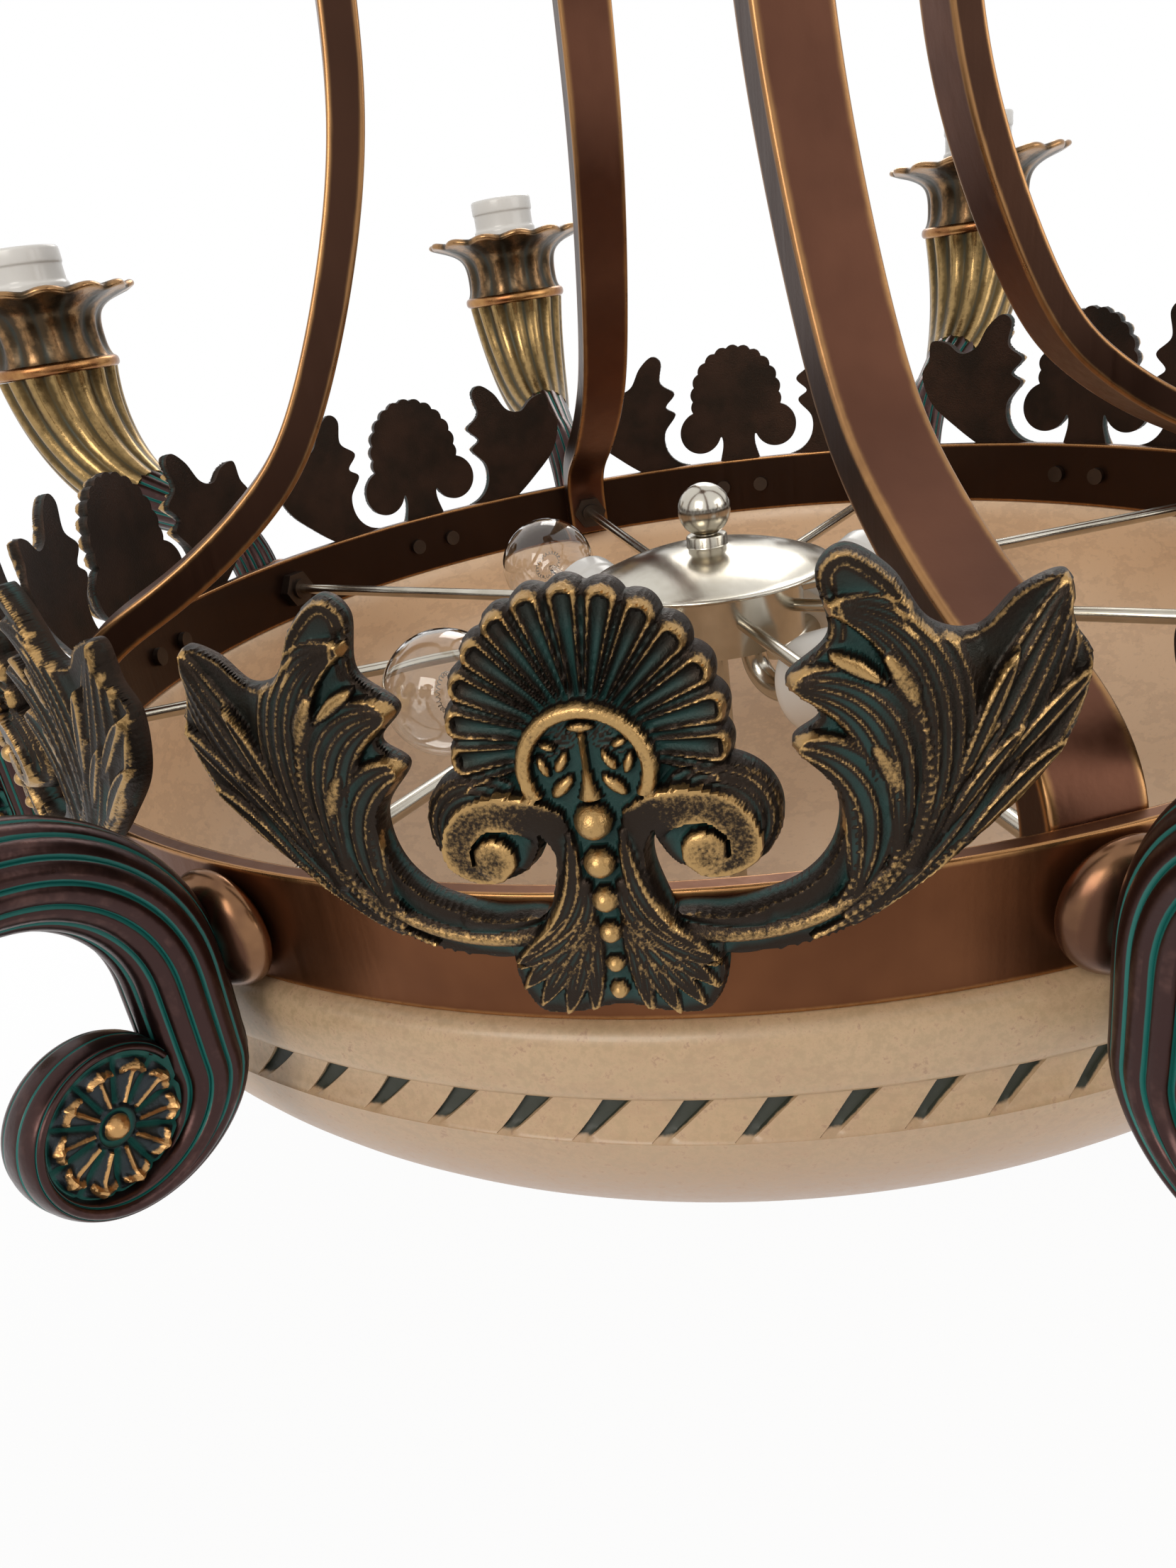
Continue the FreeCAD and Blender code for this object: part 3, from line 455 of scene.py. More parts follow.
def polished_stone():
    """Cream browning lower down, partly as painted shading; paler inside as painted light; specks, veins,
    paint.
    """
    material, start, shader = finish_named("polished stone", IOR=1.55, Coat_Roughness=0.12)
    cloud = noise(start, 9.0, 5.0)
    specks = noise(start, 420.0, 4.0, 0.7)
    blots = noise(start, 130.0, 3.0, 0.6)
    veins = noise(start, 22.0, 6.0, 0.7, (1.0, 1.0, 2.2))
    inside = mark(start, "inside")
    cream = cloud.between(0.3, 0.7).mix(CREAM, PALE_CREAM)
    grained = (specks.between(0.36, 0.60) * 0.55).mix(GRAIN, cream)
    # Partly painted shade: the lower bowl goes to a darker brown than the stone's own warmer tone.
    body = (mark(start, "low_tint_and_shade") + cloud.sway(0.3)).clip().mix(grained, LOW_STONE_AND_SHADE)
    dust = specks.between(0.56, 0.72) * (1.0 - inside * 0.8)
    # Painted light: the inside is made paler than the stone, standing in for light that does not reach it.
    dusted = dust.mix(inside.mix(body, PAINTED_LIGHT_INNER_STONE), SPECK)
    off_vein = (veins - 0.5) * (veins - 0.5) * 400.0
    veined = ((1.0 - off_vein.between(0.0, 0.9)) * 0.16).mix(dusted, VEIN)
    paint = (mark(start, "paint") + blots.sway(1.1) + specks.sway(0.6)).between(0.40, 0.85)
    feed(start, shader, Base_Color=paint.mix(veined, OLD_PAINT),
         Roughness=0.42 + specks.sway(0.3) + paint * 0.2, Coat_Weight=0.14 - paint * 0.1,
         Normal=bump(start, specks + blots * 0.6, 0.12, 0.0006))
    return material


STONE = polished_stone()
print("finish", STONE.name)

# %% [markdown]
# The hub, the spokes and the tubes are nickel plate gone slightly dull, the fasteners are plain steel, the
# lampholders glossy white, and the lamps clear glass. The screws and nuts on the ring's inner face take a
# steel darkened as painted shade. None is quite even on the real lamp, so each has faint clouds in its
# tone and gloss.

# %% Plate, steel, white and glass


def plated(name, bright, dull, rough):
    """Plate with cloudy tarnish and hair-fine scratches."""
    material, start, shader = finish_named(name, Metallic=1.0)
    cloud = noise(start, 38.0, 4.0)
    hair = noise(start, 500.0, 2.0, 0.6, (1.0, 0.2, 1.0))
    feed(start, shader, Base_Color=cloud.between(0.3, 0.75).mix(bright, dull),
         Roughness=rough + cloud.sway(0.16) + hair.sway(0.08), Normal=bump(start, hair, 0.04, 0.0004))
    return material


def glossy_white():
    """White with a faint warm cloud and a slight orange-peel gloss."""
    material, start, shader = finish_named("glossy white", IOR=1.5)
    cloud = noise(start, 40.0, 3.0)
    peel = noise(start, 350.0, 2.0)
    feed(start, shader, Base_Color=cloud.mix((0.80, 0.78, 0.74, 1), (0.88, 0.87, 0.84, 1)),
         Roughness=0.22 + cloud.sway(0.15), Normal=bump(start, peel, 0.05, 0.0005))
    return material


def clear_glass():
    """Clear glass with a breath of dust that raises its roughness in places."""
    material, start, shader = finish_named("clear glass", IOR=1.45, Transmission_Weight=1.0)
    dust = noise(start, 60.0, 4.0)
    feed(start, shader, Base_Color=dust.mix((0.97, 0.97, 0.96, 1), (0.93, 0.93, 0.92, 1)),
         Roughness=(dust - 0.45) * 0.1)
    return material


NICKEL = plated("dull nickel", bright=(0.62, 0.58, 0.50, 1), dull=(0.46, 0.42, 0.34, 1), rough=0.2)
STEEL = plated("plain steel", bright=(0.36, 0.33, 0.29, 1), dull=(0.22, 0.19, 0.16, 1), rough=0.4)
# Painted shade: this steel is darkened for the fasteners that sit on the ring's shaded inner face.
SHADE_PAINTED_STEEL = plated("steel darkened as painted shading", bright=(0.085, 0.062, 0.048, 1), dull=(0.045, 0.033, 0.026, 1),
                    rough=0.42)
THREAD = plated("thread brass", bright=(0.60, 0.43, 0.18, 1), dull=(0.42, 0.28, 0.11, 1), rough=0.3)
WHITE = glossy_white()
GLASS = clear_glass()
print("finishes", NICKEL.name, STEEL.name, SHADE_PAINTED_STEEL.name, THREAD.name, WHITE.name, GLASS.name)

# %% [markdown]
# The ring is a flat bar rolled into a hoop: a rectangle with eased edges, carried round. The section has
# extra points close to its edges, so that the wear mark can fade from gold to brown within a few
# millimetres. Its top and bottom faces, and most of all its inner face, are darkened as painted shade.

# %% Ring
SIDE_STEPS = np.array([0.03, 0.07, 0.13, 0.22, 0.36, 0.5, 0.64, 0.78, 0.87, 0.93, 0.97])
RING_SEGMENTS = 288


def bar_section(thickness, width, easing, edge_fade, face_fade, shades):
    """Rectangle with eased corners: points, wear as exp(-distance from corner / fade), and painted shading.
    """
    half = np.array([[-thickness, -width], [thickness, -width], [thickness, width], [-thickness, width]]) / 2
    corner = softened(np.hstack([half, np.ones((4, 1))]), easing).reshape(4, -1, 2)
    start, end = corner[:, -1:], np.roll(corner, -1, axis=0)[:, :1]
    side = start + (end - start) * SIDE_STEPS[None, :, None]
    length = np.linalg.norm(end - start, axis=2)
    away = length * np.minimum(SIDE_STEPS, 1 - SIDE_STEPS)[None, :]
    fade = np.array([edge_fade, face_fade, edge_fade, face_fade])[:, None]
    wear = np.concatenate([np.ones(corner.shape[:2]), np.exp(-away / fade)], axis=1)
    # Painted shade: each side is darkened by its own given amount.
    side_shade = np.array(shades)[:, None] * np.ones(len(SIDE_STEPS))
    shade = np.concatenate([np.zeros(corner.shape[:2]), side_shade], axis=1)
    return np.concatenate([corner, side], axis=1).reshape(-1, 2), wear.ravel(), shade.ravel()


# Painted shade: 0.3 on the top and bottom faces and 1.2 on the inner face.
ring_section, ring_wear, ring_shade = bar_section(RING_WALL, RING_HEIGHT, easing=0.7, edge_fade=0.4,
                                                  face_fade=0.8, shades=(0.3, 0.0, 0.3, 1.2))
ring_line = ring_section + np.array([RING_RADIUS - RING_WALL / 2, RING_TOP - RING_HEIGHT / 2])
piece("ring_band", *turned(ring_line, RING_SEGMENTS), RING_BRASS, ["ring"],
      wear=0.8 * ring_wear, shade=ring_shade)
print("ring cells", RING_SEGMENTS * len(ring_line))

# %% [markdown]
# The straps are thicker flat bars, bent to a free curve from the inside of the ring up to the crown. They
# could be drawn as a curve object with a bevel, but a section like the ring's gives their edges the same
# worn look. Their narrow sides are darkened as painted shade.

# %% Straps
STRAP_WIDTH, STRAP_THICKNESS, STRAP_ROWS, CROWN_LINE = 22.0, 12.0, 150, 24.5
STRAP_FOOT = RING_RADIUS - RING_WALL - STRAP_THICKNESS / 2
STRAP_POLES = [(STRAP_FOOT, -9.0), (STRAP_FOOT, 11.0), (204.0, 24.0), (162.0, 52.0), (140.0, 76.0),
               (108.0, 148.0), (101.0, 200.0), (100.0, 262.0), (CROWN_LINE, 330.0), (CROWN_LINE, 366.0)]
strap_path = np.vstack([[(STRAP_FOOT, -27.0), (STRAP_FOOT, -18.0)], clamped_curve(STRAP_POLES, STRAP_ROWS),
                        [(CROWN_LINE, 380.0), (CROWN_LINE, 400.0)]])
# Painted shade: the two narrow sides of the bar are darkened.
strap_section, strap_wear, strap_shade = bar_section(STRAP_THICKNESS, STRAP_WIDTH, easing=1.3, edge_fade=1.2,
                                                     face_fade=1.7, shades=(1.0, 0.0, 1.0, 0.0))
strap_grid = with_ends(carried(strap_path, strap_section[None, :, 0], strap_section[:, 1]))
strap_faces = cells(*strap_grid.shape[:2], False, True)
round_axis(STRAPS, ("strap_bar", strap_grid, strap_faces, STRAP_BRASS, "strap",
                    {"wear": 0.68 * strap_wear, "shade": strap_shade}))
print("strap cells", len(strap_faces))

# %% [markdown]
# Each arm is a cast, reeded scroll. Its stem comes down past the boss, rolls up into a volute and tapers
# away, and its other end arches out to the horn. The roll follows a shrinking spiral: the distance of its
# outer side from the middle falls off exponentially, and its inner side stays on the rosette's edge. The
# reeds are a ripple on an oval section. Every other groove fades on the roll, where the real one has fewer
# and broader bands. The rub mark is high on the reeds and low in the grooves, where the green crust stays.

# %% Reeded arms
REEDS, REED_DEPTH = 14, 0.11
REED_SHARES = np.array([0.0, 0.083, 0.17, 0.32, 0.5, 0.68, 0.83, 0.917])
ROLL_OFFSET, ROLL_DROP, ROLL_CORE, ROLL_START, ROLL_WIDTH = 26.2, 38.2, 18.75, 36.8, 10.0
ROLL_TURN, ROLL_EASE, ROLL_FALL, ROLL_NARROWING = np.radians(335), 1.28, 1.15, 0.32
ROLL_MIDDLE = np.array([STEM_LINE + ROLL_OFFSET, -ROLL_DROP])
ARM_HALF, ARM_END = 11.5, 16.0
ROLL_ROWS, STEM_ROWS, BEND_ROWS, RUN_ROWS = 84, 6, 24, 10


def arm_path():
    """Stations from the roll's inner end to the horn: place, half thickness, half width, share wound up."""
    turn = np.linspace(ROLL_TURN, 0, ROLL_ROWS)
    eased = ROLL_EASE * turn ** 2 / (turn + 1.0)
    inner = ROLL_OFFSET - ARM_HALF
    outer = ROLL_CORE + (ROLL_START - ROLL_CORE) * np.exp(-ROLL_FALL * eased)
    spoke = np.stack([np.cos(np.pi + turn), np.sin(np.pi + turn)], axis=1)
    roll = ROLL_MIDDLE + spoke * ((outer + inner) / 2)[:, None]
    stem = np.linspace((roll[-1, 0], ROLL_MIDDLE[1] + 2), (STEM_LINE, FIXING - 2), STEM_ROWS)
    bend = np.linspace(np.pi, np.pi / 2 + RISE, BEND_ROWS)
    arch = np.stack([np.cos(bend), np.sin(bend)], axis=1)
    over = np.array([STEM_LINE + ARCH_RADIUS, FIXING]) + ARCH_RADIUS * arch
    run = over[-1] + np.linspace(2, RUN + 1.5, RUN_ROWS)[:, None] * np.array([math.cos(RISE), math.sin(RISE)])
    swell = np.linspace(ARM_HALF, ARM_END, RUN_ROWS)
    wound = (outer - inner) / 2
    settling = np.linspace(wound[-1], ARM_HALF, STEM_ROWS)
    thick = np.concatenate([wound, settling, np.full(BEND_ROWS, ARM_HALF), swell])
    narrowed = ROLL_WIDTH / 2 + (ARM_HALF - ROLL_WIDTH / 2) * np.exp(-ROLL_NARROWING * eased)
    wide = np.concatenate([narrowed, np.full(STEM_ROWS + BEND_ROWS, ARM_HALF), swell])
    wound_up = np.pad(np.clip((turn - 0.4) / 0.9, 0, 1), (0, STEM_ROWS + BEND_ROWS + RUN_ROWS))
    return np.vstack([roll, stem, over, run]), thick, wide, wound_up


def reeded(path, thick, wide, wound_up):
    """Oval section whose radius dips by REED_DEPTH between its reeds; every other dip fades on the roll."""
    share = np.tile(REED_SHARES, REEDS)
    order = np.repeat(np.arange(REEDS), len(REED_SHARES)) + share
    angle = (order + 0.5) * 2 * np.pi / REEDS
    odd_dip = np.round(order) % 2
    swell = 1 - (1 - np.sin(np.pi * share) ** 0.45) * (1 - wound_up[:, None] * odd_dip)
    rim = 1 - REED_DEPTH * (1 - swell)
    grid = carried(path, thick[:, None] * np.cos(angle) * rim, wide[:, None] * np.sin(angle) * rim)
    return with_ends(grid), np.pad(swell, ((1, 1), (0, 0)), mode="edge")


arm_grid, arm_swell = reeded(*arm_path())
arm_faces = cells(*arm_grid.shape[:2], False, True)
arm_rub = 0.02 + 0.86 * np.clip((arm_swell - 0.60) / 0.2, 0, 1)
print("arm cells", len(arm_faces))

# %% [markdown]
# A rosette sits in each side of a roll: petals with a middle rib and a curled tip, round a ringed ball. On
# the real arm it is probably cast with the roll. Here it is a disc of its own, so that its fine grid
# doesn't go on along the arm.

# %% Rosettes
PETALS, ROSETTE, ROSETTE_LAP, PETAL_FROM = 10, 15.4, 1.8, 5.0
BALL, MOAT, COLLAR, CURL = 2.9, 3.4, 4.4, 13.3
ROSETTE_ROWS, ROSETTE_SPOKES = 33, 180


def rosette(side):
    """Disc whose height is a sum of bell curves, each of the distance from its own line; and its rub mark."""
    spokes = np.linspace(0, 2 * np.pi, ROSETTE_SPOKES, endpoint=False)
    radius, turn = np.meshgrid(np.linspace(0, 1, ROSETTE_ROWS) * (ROSETTE + ROSETTE_LAP), spokes)
    share = np.mod(turn * PETALS / (2 * np.pi), 1) - 0.5
    pitch = np.maximum(radius, 1e-6) * 2 * np.pi / PETALS
    away = share * pitch
    on_petal = (radius > PETAL_FROM) & (radius < ROSETTE - 0.4)
    rib = bell(away, 0.55) * on_petal
    curl = bell(radius - CURL + 0.12 * away ** 2, 0.95) * np.clip((0.43 * pitch - np.abs(away)) / 0.5, 0, 1)
    groove = bell(np.abs(away) - pitch / 2, 0.6) * (radius > PETAL_FROM - 0.1)
    ball = np.sqrt(np.clip(BALL ** 2 - radius ** 2, 0, None))
    field = (1 - (2 * share) ** 2) * on_petal
    height = 0.8 * field + rib + 2.0 * curl + 1.1 * ball + 0.9 * bell(radius - COLLAR, 0.45) - 0.7 * groove
    gold = np.maximum.reduce([rib, 1.15 * curl, np.clip(ball, 0, 1)])
    sunk = 0.45 * groove + 0.45 * (radius > ROSETTE - 0.4) + 0.4 * bell(radius - MOAT, 0.5)
    x, z = ROLL_MIDDLE[0] + radius * np.cos(turn), RING_TOP + ROLL_MIDDLE[1] + radius * np.sin(turn)
    y = side * (ROLL_WIDTH / 2 + 0.2 + np.clip(height, -0.7, 3.3))
    return np.stack([x, y, z], axis=-1), 0.40 + 0.75 * gold - np.where(gold > 0.4, 0, sunk)


(near_disc, near_rub), (far_disc, far_rub) = rosette(-1), rosette(1)
disc_faces = cells(ROSETTE_SPOKES, ROSETTE_ROWS, True)
discs = join_grids((near_disc, disc_faces), (far_disc, disc_faces[:, ::-1]))
disc_rub = np.concatenate([near_rub.ravel(), far_rub.ravel()])
round_axis(ARMS, ("arm_scroll", arm_grid, arm_faces, REEDED, "arm", {"rub": arm_rub}),
           ("arm_rosettes", *discs, ROSETTED, None, {"outward": False, "rub": disc_rub}))
print("rosette cells", 2 * len(disc_faces))

# %% [markdown]
# A bun-shaped boss stands between the ring and each arm. It is a turned form on a radial axis, so its
# profile is carried round X instead of Z. Its two sides are rounded like ellipses, flatter towards the
# ring.

# %% Bosses
BUN_RADIUS, BUN_MIDDLE, BUN_TO_RING, BUN_TO_ARM, BUN_SEGMENTS = 15.2, 3.6, 4.4, 7.2, 64
swing = np.linspace(-np.pi / 2, np.pi / 2, 32)
bun_depth = BUN_MIDDLE + np.where(swing < 0, BUN_TO_RING, BUN_TO_ARM) * np.sin(swing)
bun = np.stack([BUN_RADIUS * np.cos(swing) ** 0.8, bun_depth], axis=1)
bun_rub = 1.0 - np.clip((bun_depth - 7.8) / 2.8, 0, 1)
bun_form = turned_along(bun, BUN_SEGMENTS, (RING_RADIUS, 0.0, RING_TOP + FIXING), (1, 0, 0))
round_axis(ARMS, ("boss_bun", *bun_form, TURNED, "boss", {"rub": bun_rub}))
print("boss cells", BUN_SEGMENTS * len(bun))

# %% [markdown]
# The horns are fluted: hollow channels between thin ridges that catch the light. The horn swells along a
# quarter bend up to its mouth, where a plain bead ring goes round it.

# %% Horns
FLUTES, FLUTE_POINTS, FLUTE_DEPTH, MOUTH_HALF, HORN_ROWS = 15, 12, 0.09, 31.5, 44
HORN_START = np.array([STEM_LINE + ARCH_RADIUS * (1 - math.sin(RISE)) + RUN * math.cos(RISE),
                       FIXING + ARCH_RADIUS * math.cos(RISE) + RUN * math.sin(RISE)])
HORN_MIDDLE = HORN_START + HORN_SWEEP * np.array([-math.sin(RISE), math.cos(RISE)])
MOUTH = HORN_MIDDLE + np.array([HORN_SWEEP, 0.0])
BEAD = [(26.0, 0.1, 0), (31.0, 0.1, 0.4), (33.2, 1.4, 1), (33.2, 5.0, 1), (31.0, 6.4, 0.4), (26.0, 6.4, 0)]


def fluted(count, points):
    """Angles round a fluted form, and its ridges: |cos(count * angle / 2)| to the power 1.4."""
    angle = np.linspace(0, 2 * np.pi, count * points, endpoint=False)
    return angle, np.abs(np.cos(angle * count / 2)) ** 1.4


def horn_body():
    """Fluted round section that swells as the 0.8 power of its way along the bend."""
    share = np.linspace(0, 1, HORN_ROWS)[:, None]
    heading = RISE + (np.pi / 2 - RISE) * share
    path = HORN_MIDDLE + HORN_SWEEP * np.hstack([np.sin(heading), -np.cos(heading)])
    size = ARM_END + (MOUTH_HALF - ARM_END) * share ** 0.8
    angle, ridge = fluted(FLUTES, FLUTE_POINTS)
    rim = 1 - FLUTE_DEPTH * (1 - ridge) * (0.5 + 0.5 * share)
    grid = carried(path, size * np.cos(angle) * rim, size * np.sin(angle) * rim)
    return with_ends(grid), 0.20 + 0.72 * ridge


horn_grid, horn_rub = horn_body()
horn_faces = cells(*horn_grid.shape[:2], False, True)
bead_form = turned(softened(BEAD, 2.6), 96, (MOUTH[0], 0.0, RING_TOP + MOUTH[1]))
print("horn mouth", MOUTH)

# %% [markdown]
# Over the bead a short fluted neck flares into a scalloped lamp cup. The cup is a turned form whose radius
# and height ripple more and more towards the rim, which a plain lathe couldn't give.

# %% Lamp cups
SCALLOPS, SCALLOP_POINTS = 14, 10
CUP_OUTSIDE = [(31.2, 6.2), (29.8, 8.5), (29.3, 14.0), (29.4, 24.0), (32.5, 31.5), (42.0, 35.2), (51.0, 38.4)]
CUP_LIP = [(51.0, 38.4), (52.8, 39.0), (52.6, 41.6), (49.8, 41.8)]
CUP_INSIDE = [(49.8, 41.8), (41.0, 39.0), (33.0, 34.5), (27.0, 29.0), (20.6, 26.0), (20.4, 23.0)]
CUP_ROWS, LIP_ROWS, INSIDE_ROWS = 34, 8, 24


def lamp_cup():
    """Neck and flared cup turned about the mouth's axis, scalloped by a ripple that grows towards the rim."""
    profile = np.vstack([[(0.0, 6.0)], clamped_curve(CUP_OUTSIDE, CUP_ROWS),
                         clamped_curve(CUP_LIP, LIP_ROWS)[1:], clamped_curve(CUP_INSIDE, INSIDE_ROWS)[1:],
                         [(0.0, 22.9)]])
    order = np.arange(len(profile))
    spread = np.clip((profile[:, 0] - 29.5) / 22, 0, 1) ** 1.4
    angle, ridge = [values[:, None] for values in fluted(SCALLOPS, SCALLOP_POINTS)]
    neck = bell(profile[:, 1] - 18, 11) * (order > 0) * (order < CUP_ROWS + 2)
    radius = profile[:, 0] * (1 - (0.06 * spread + 0.07 * neck) * (1 - ridge))
    up = profile[:, 1] - 1.8 * spread * (1 - ridge)
    x, y = MOUTH[0] + radius * np.cos(angle), radius * np.sin(angle)
    return np.stack([x, y, RING_TOP + MOUTH[1] + up], axis=-1), 0.16 + 0.62 * ridge + 0.40 * spread ** 3


cup_grid, cup_rub = lamp_cup()
cup_faces = cells(*cup_grid.shape[:2], True)
round_axis(ARMS, ("horn_shell", horn_grid, horn_faces, HORN, "horn", {"rub": horn_rub}),
           ("horn_bead", *bead_form, COPPERY, None, {}),
           ("horn_cup", cup_grid, cup_faces, CUP, None, {"rub": cup_rub}))
print("cells of a horn, its bead and its cup", len(horn_faces), len(bead_form[1]), len(cup_faces))

# %% [markdown]
# The ornaments carry the most carving: a shell of fluted fingers, an arch over a bud, two rolled scrolls, a
# column of beads, a leafy foot and two acanthus leaves. The carving is one height for each point of a fine
# flat grid, taken as the highest of several simple forms. Only the half beside the axis is worked out, and
# then reflected. The outline comes first, as the distance of every point to it.

# %% The ornament's outline
STEP, GRID_SIDE, GRID_LOW, GRID_HIGH = 0.46, 94.0, -28.0, 69.0
LEAF = [(12.0, -2.0), (24.0, -1.5), (36.0, 2.0), (42.5, 9.5), (43.0, 20.0), (36.0, 29.5), (41.0, 34.5),
        (35.5, 41.5), (43.0, 48.5), (41.5, 59.5), (46.5, 63.5), (54.0, 58.0), (60.0, 48.5), (68.0, 46.0),
        (75.0, 51.5), (83.0, 53.0), (84.5, 44.0), (88.0, 36.0), (83.0, 21.0), (70.0, 8.0), (57.0, -2.0),
        (43.0, -10.0), (27.0, -13.0), (12.0, -11.0)]
HALF_FOOT = [(0.0, -23.0), (10.0, -25.0), (18.0, -24.0), (21.5, -13.5), (15.0, -8.0), (11.0, 2.0),
             (9.5, 12.0), (14.0, 22.5), (17.0, 30.0), (0.0, 35.0)]
FOOT = HALF_FOOT + [(-x, y) for x, y in HALF_FOOT[-2:0:-1]]
SCROLL, SCROLL_RADIUS, EYE, EYE_RADIUS = (22.0, 17.4), 12.0, (19.6, 12.9), 3.8
FAN_CENTRE, FAN_HALF_WIDTH, FAN_CROWN = 34.5, 25.0, 28.0
FINGERS, FAN_SPREAD, FINGER_SWELL = 13, np.radians(104.0), 1.5

SIDE, H = np.meshgrid(np.arange(int(GRID_SIDE / STEP) + 1) * STEP, np.arange(GRID_LOW, GRID_HIGH, STEP),
                      indexing="ij")


def closed_curve(points, steps=10):
    """Smooth closed curve through points: each stretch is a cubic whose slope comes from the neighbours."""
    p = np.asarray(points, dtype=float)
    slope = (np.roll(p, -1, axis=0) - np.roll(p, 1, axis=0)) / 2
    t = np.linspace(0, 1, steps, endpoint=False)[None, :, None]
    a, b = p[:, None], np.roll(p, -1, axis=0)[:, None]
    m, n = slope[:, None], np.roll(slope, -1, axis=0)[:, None]
    curve = ((2 * t ** 3 - 3 * t ** 2 + 1) * a + (t ** 3 - 2 * t ** 2 + t) * m
             + (3 * t ** 2 - 2 * t ** 3) * b + (t ** 3 - t ** 2) * n)
    return curve.reshape(-1, 2)


def outline_distance(curve):
    """Distance of every grid point to a closed outline, negative inside by counting crossings."""
    best = np.full(SIDE.shape, 1e9)
    inside = np.zeros(SIDE.shape, dtype=bool)
    for (ax, ay), (bx, by) in zip(curve, np.roll(curve, -1, axis=0)):
        dx, dy = bx - ax, by - ay
        t = np.clip(((SIDE - ax) * dx + (H - ay) * dy) / max(dx * dx + dy * dy, 1e-12), 0, 1)
        best = np.minimum(best, (SIDE - ax - t * dx) ** 2 + (H - ay - t * dy) ** 2)
        if ay != by:
            inside ^= ((ay > H) != (by > H)) & (SIDE < dx * (H - ay) / dy + ax)
    return np.where(inside, -1.0, 1.0) * np.sqrt(best)


def shell_curve():
    """Fan of round fingers: an ellipse whose size swells and dips once for every finger."""
    angle = np.linspace(-FAN_SPREAD, FAN_SPREAD, FINGERS * 12 + 1)
    size = FINGER_SWELL * np.abs(np.cos(angle / FAN_SPREAD * FINGERS * np.pi / 2)) ** 0.8
    x, y = (FAN_HALF_WIDTH + size) * np.sin(angle), FAN_CENTRE + (FAN_CROWN + size) * np.cos(angle)
    return np.stack([x, y], axis=1)


scroll_inward = SCROLL_RADIUS - np.hypot(SIDE - SCROLL[0], H - SCROLL[1])
half_edge = np.minimum.reduce([outline_distance(closed_curve(LEAF)), outline_distance(closed_curve(FOOT)),
                               outline_distance(shell_curve()), -scroll_inward])
print("ornament half grid", SIDE.shape, "inside", int((half_edge < 0).sum()))

# %% [markdown]
# Leaves are made of fronds, bands and cords. A frond is a domed lobe along a bent spine, with thin raised
# lines that run its whole length. A cord is a thin ridge with cross notches that ends in a small bud, as
# the carver's pearled veins do. Each gives a height at every point and how much gold the form shows there.

# %% Fronds, bands and cords
NOTHING = -9.0


def along_spine(controls, count=120):
    """Nearest place on the spine (0 to 1) and signed distance to it for every point; the spine's length."""
    t = np.linspace(0, 1, count)[:, None]
    p = np.asarray(controls, dtype=float)
    curve = (1 - t) ** 3 * p[0] + 3 * t * (1 - t) ** 2 * p[1] + 3 * t ** 2 * (1 - t) * p[2] + t ** 3 * p[3]
    way = np.gradient(curve, axis=0)
    best = np.full(SIDE.shape, 1e9)
    place = np.zeros(SIDE.shape)
    sign = np.zeros(SIDE.shape)
    for spot, (x, y), (dx, dy) in zip(t[:, 0], curve, way):
        gap = (SIDE - x) ** 2 + (H - y) ** 2
        nearer = gap < best
        best = np.where(nearer, gap, best)
        place = np.where(nearer, spot, place)
        sign = np.where(nearer, np.sign((SIDE - x) * dy - (H - y) * dx), sign)
    return place, np.sqrt(best) * sign, np.linalg.norm(np.diff(curve, axis=0), axis=1).sum()


def frond(controls, half_width, base, dome, lines=5, gold=0.72):
    """Domed band along a spine: a rubbed rim, and thin raised lines that draw together at its ends."""
    place, away, length = along_spine(controls)
    width = half_width * np.clip(np.sin(np.pi * np.clip(place, 0.04, 0.985) ** 0.85), 0.02, 1) ** 0.55
    share = away / width
    off = (np.mod((share + 1) * lines / 2, 1) - 0.5) * 2 * width / lines
    line = bell(off, 0.42) * np.clip((1 - place) * 9, 0, 1) * np.clip(width / lines - 0.15, 0, 1)
    within = np.minimum(width - np.abs(away), (1 - place) * length * 0.8)
    rim = bell(within - 0.5, 0.5) * np.clip(place * 2.2 - 0.6, 0, 1)
    body = base + dome * (1 - share ** 2) + 0.6 * line + 0.4 * rim
    gilt = np.maximum(gold * np.minimum(1.6 * line, 1), 0.85 * rim)
    return np.where(np.abs(share) < 1, body, NOTHING), gilt


def smooth_band(controls, half_width, base, dome, gold, taper=0.0):
    """Plain rounded band along a spine, narrower towards its far end by the taper."""
    place, away = along_spine(controls)[:2]
    share = np.abs(away) / (half_width * (1 - taper * place))
    return np.where(share < 1, base + dome * (1 - share ** 2), NOTHING), gold


def cord(controls, radius, base, bud=0.0):
    """Pearled ridge along a spine, with a longer bud at its far end."""
    place, away, length = along_spine(controls)
    pearl = 0.5 + 0.5 * np.cos(place * length / 1.7 * 2 * np.pi)
    at_bud = np.clip((place - (1 - bud)) / 0.04, 0, 1) if bud else np.zeros(SIDE.shape)
    swell = np.sin(np.clip((1 - place) / max(bud, 1e-6), 0, 1) * np.pi)
    size = radius * (0.7 + 0.3 * place) * (1 + 0.8 * at_bud * swell)
    crest = np.sqrt(np.clip(1 - (away / size) ** 2, 0, None))
    height = base + radius * crest * ((0.6 + 0.4 * pearl) * (1 - at_bud) + 1.15 * at_bud)
    gold = crest * ((0.55 + 0.3 * pearl) * (1 - at_bud) + 0.85 * at_bud)
    return np.where(np.abs(away) < size, height, NOTHING), gold


# %% [markdown]
# A leaf starts as a plain ground. Smooth saddles, lobes, small leaflets, a rubbed stem and pearled cords
# lie on it, each given by the four points that bend its spine, as read from the front ornament.

# %% Acanthus leaf


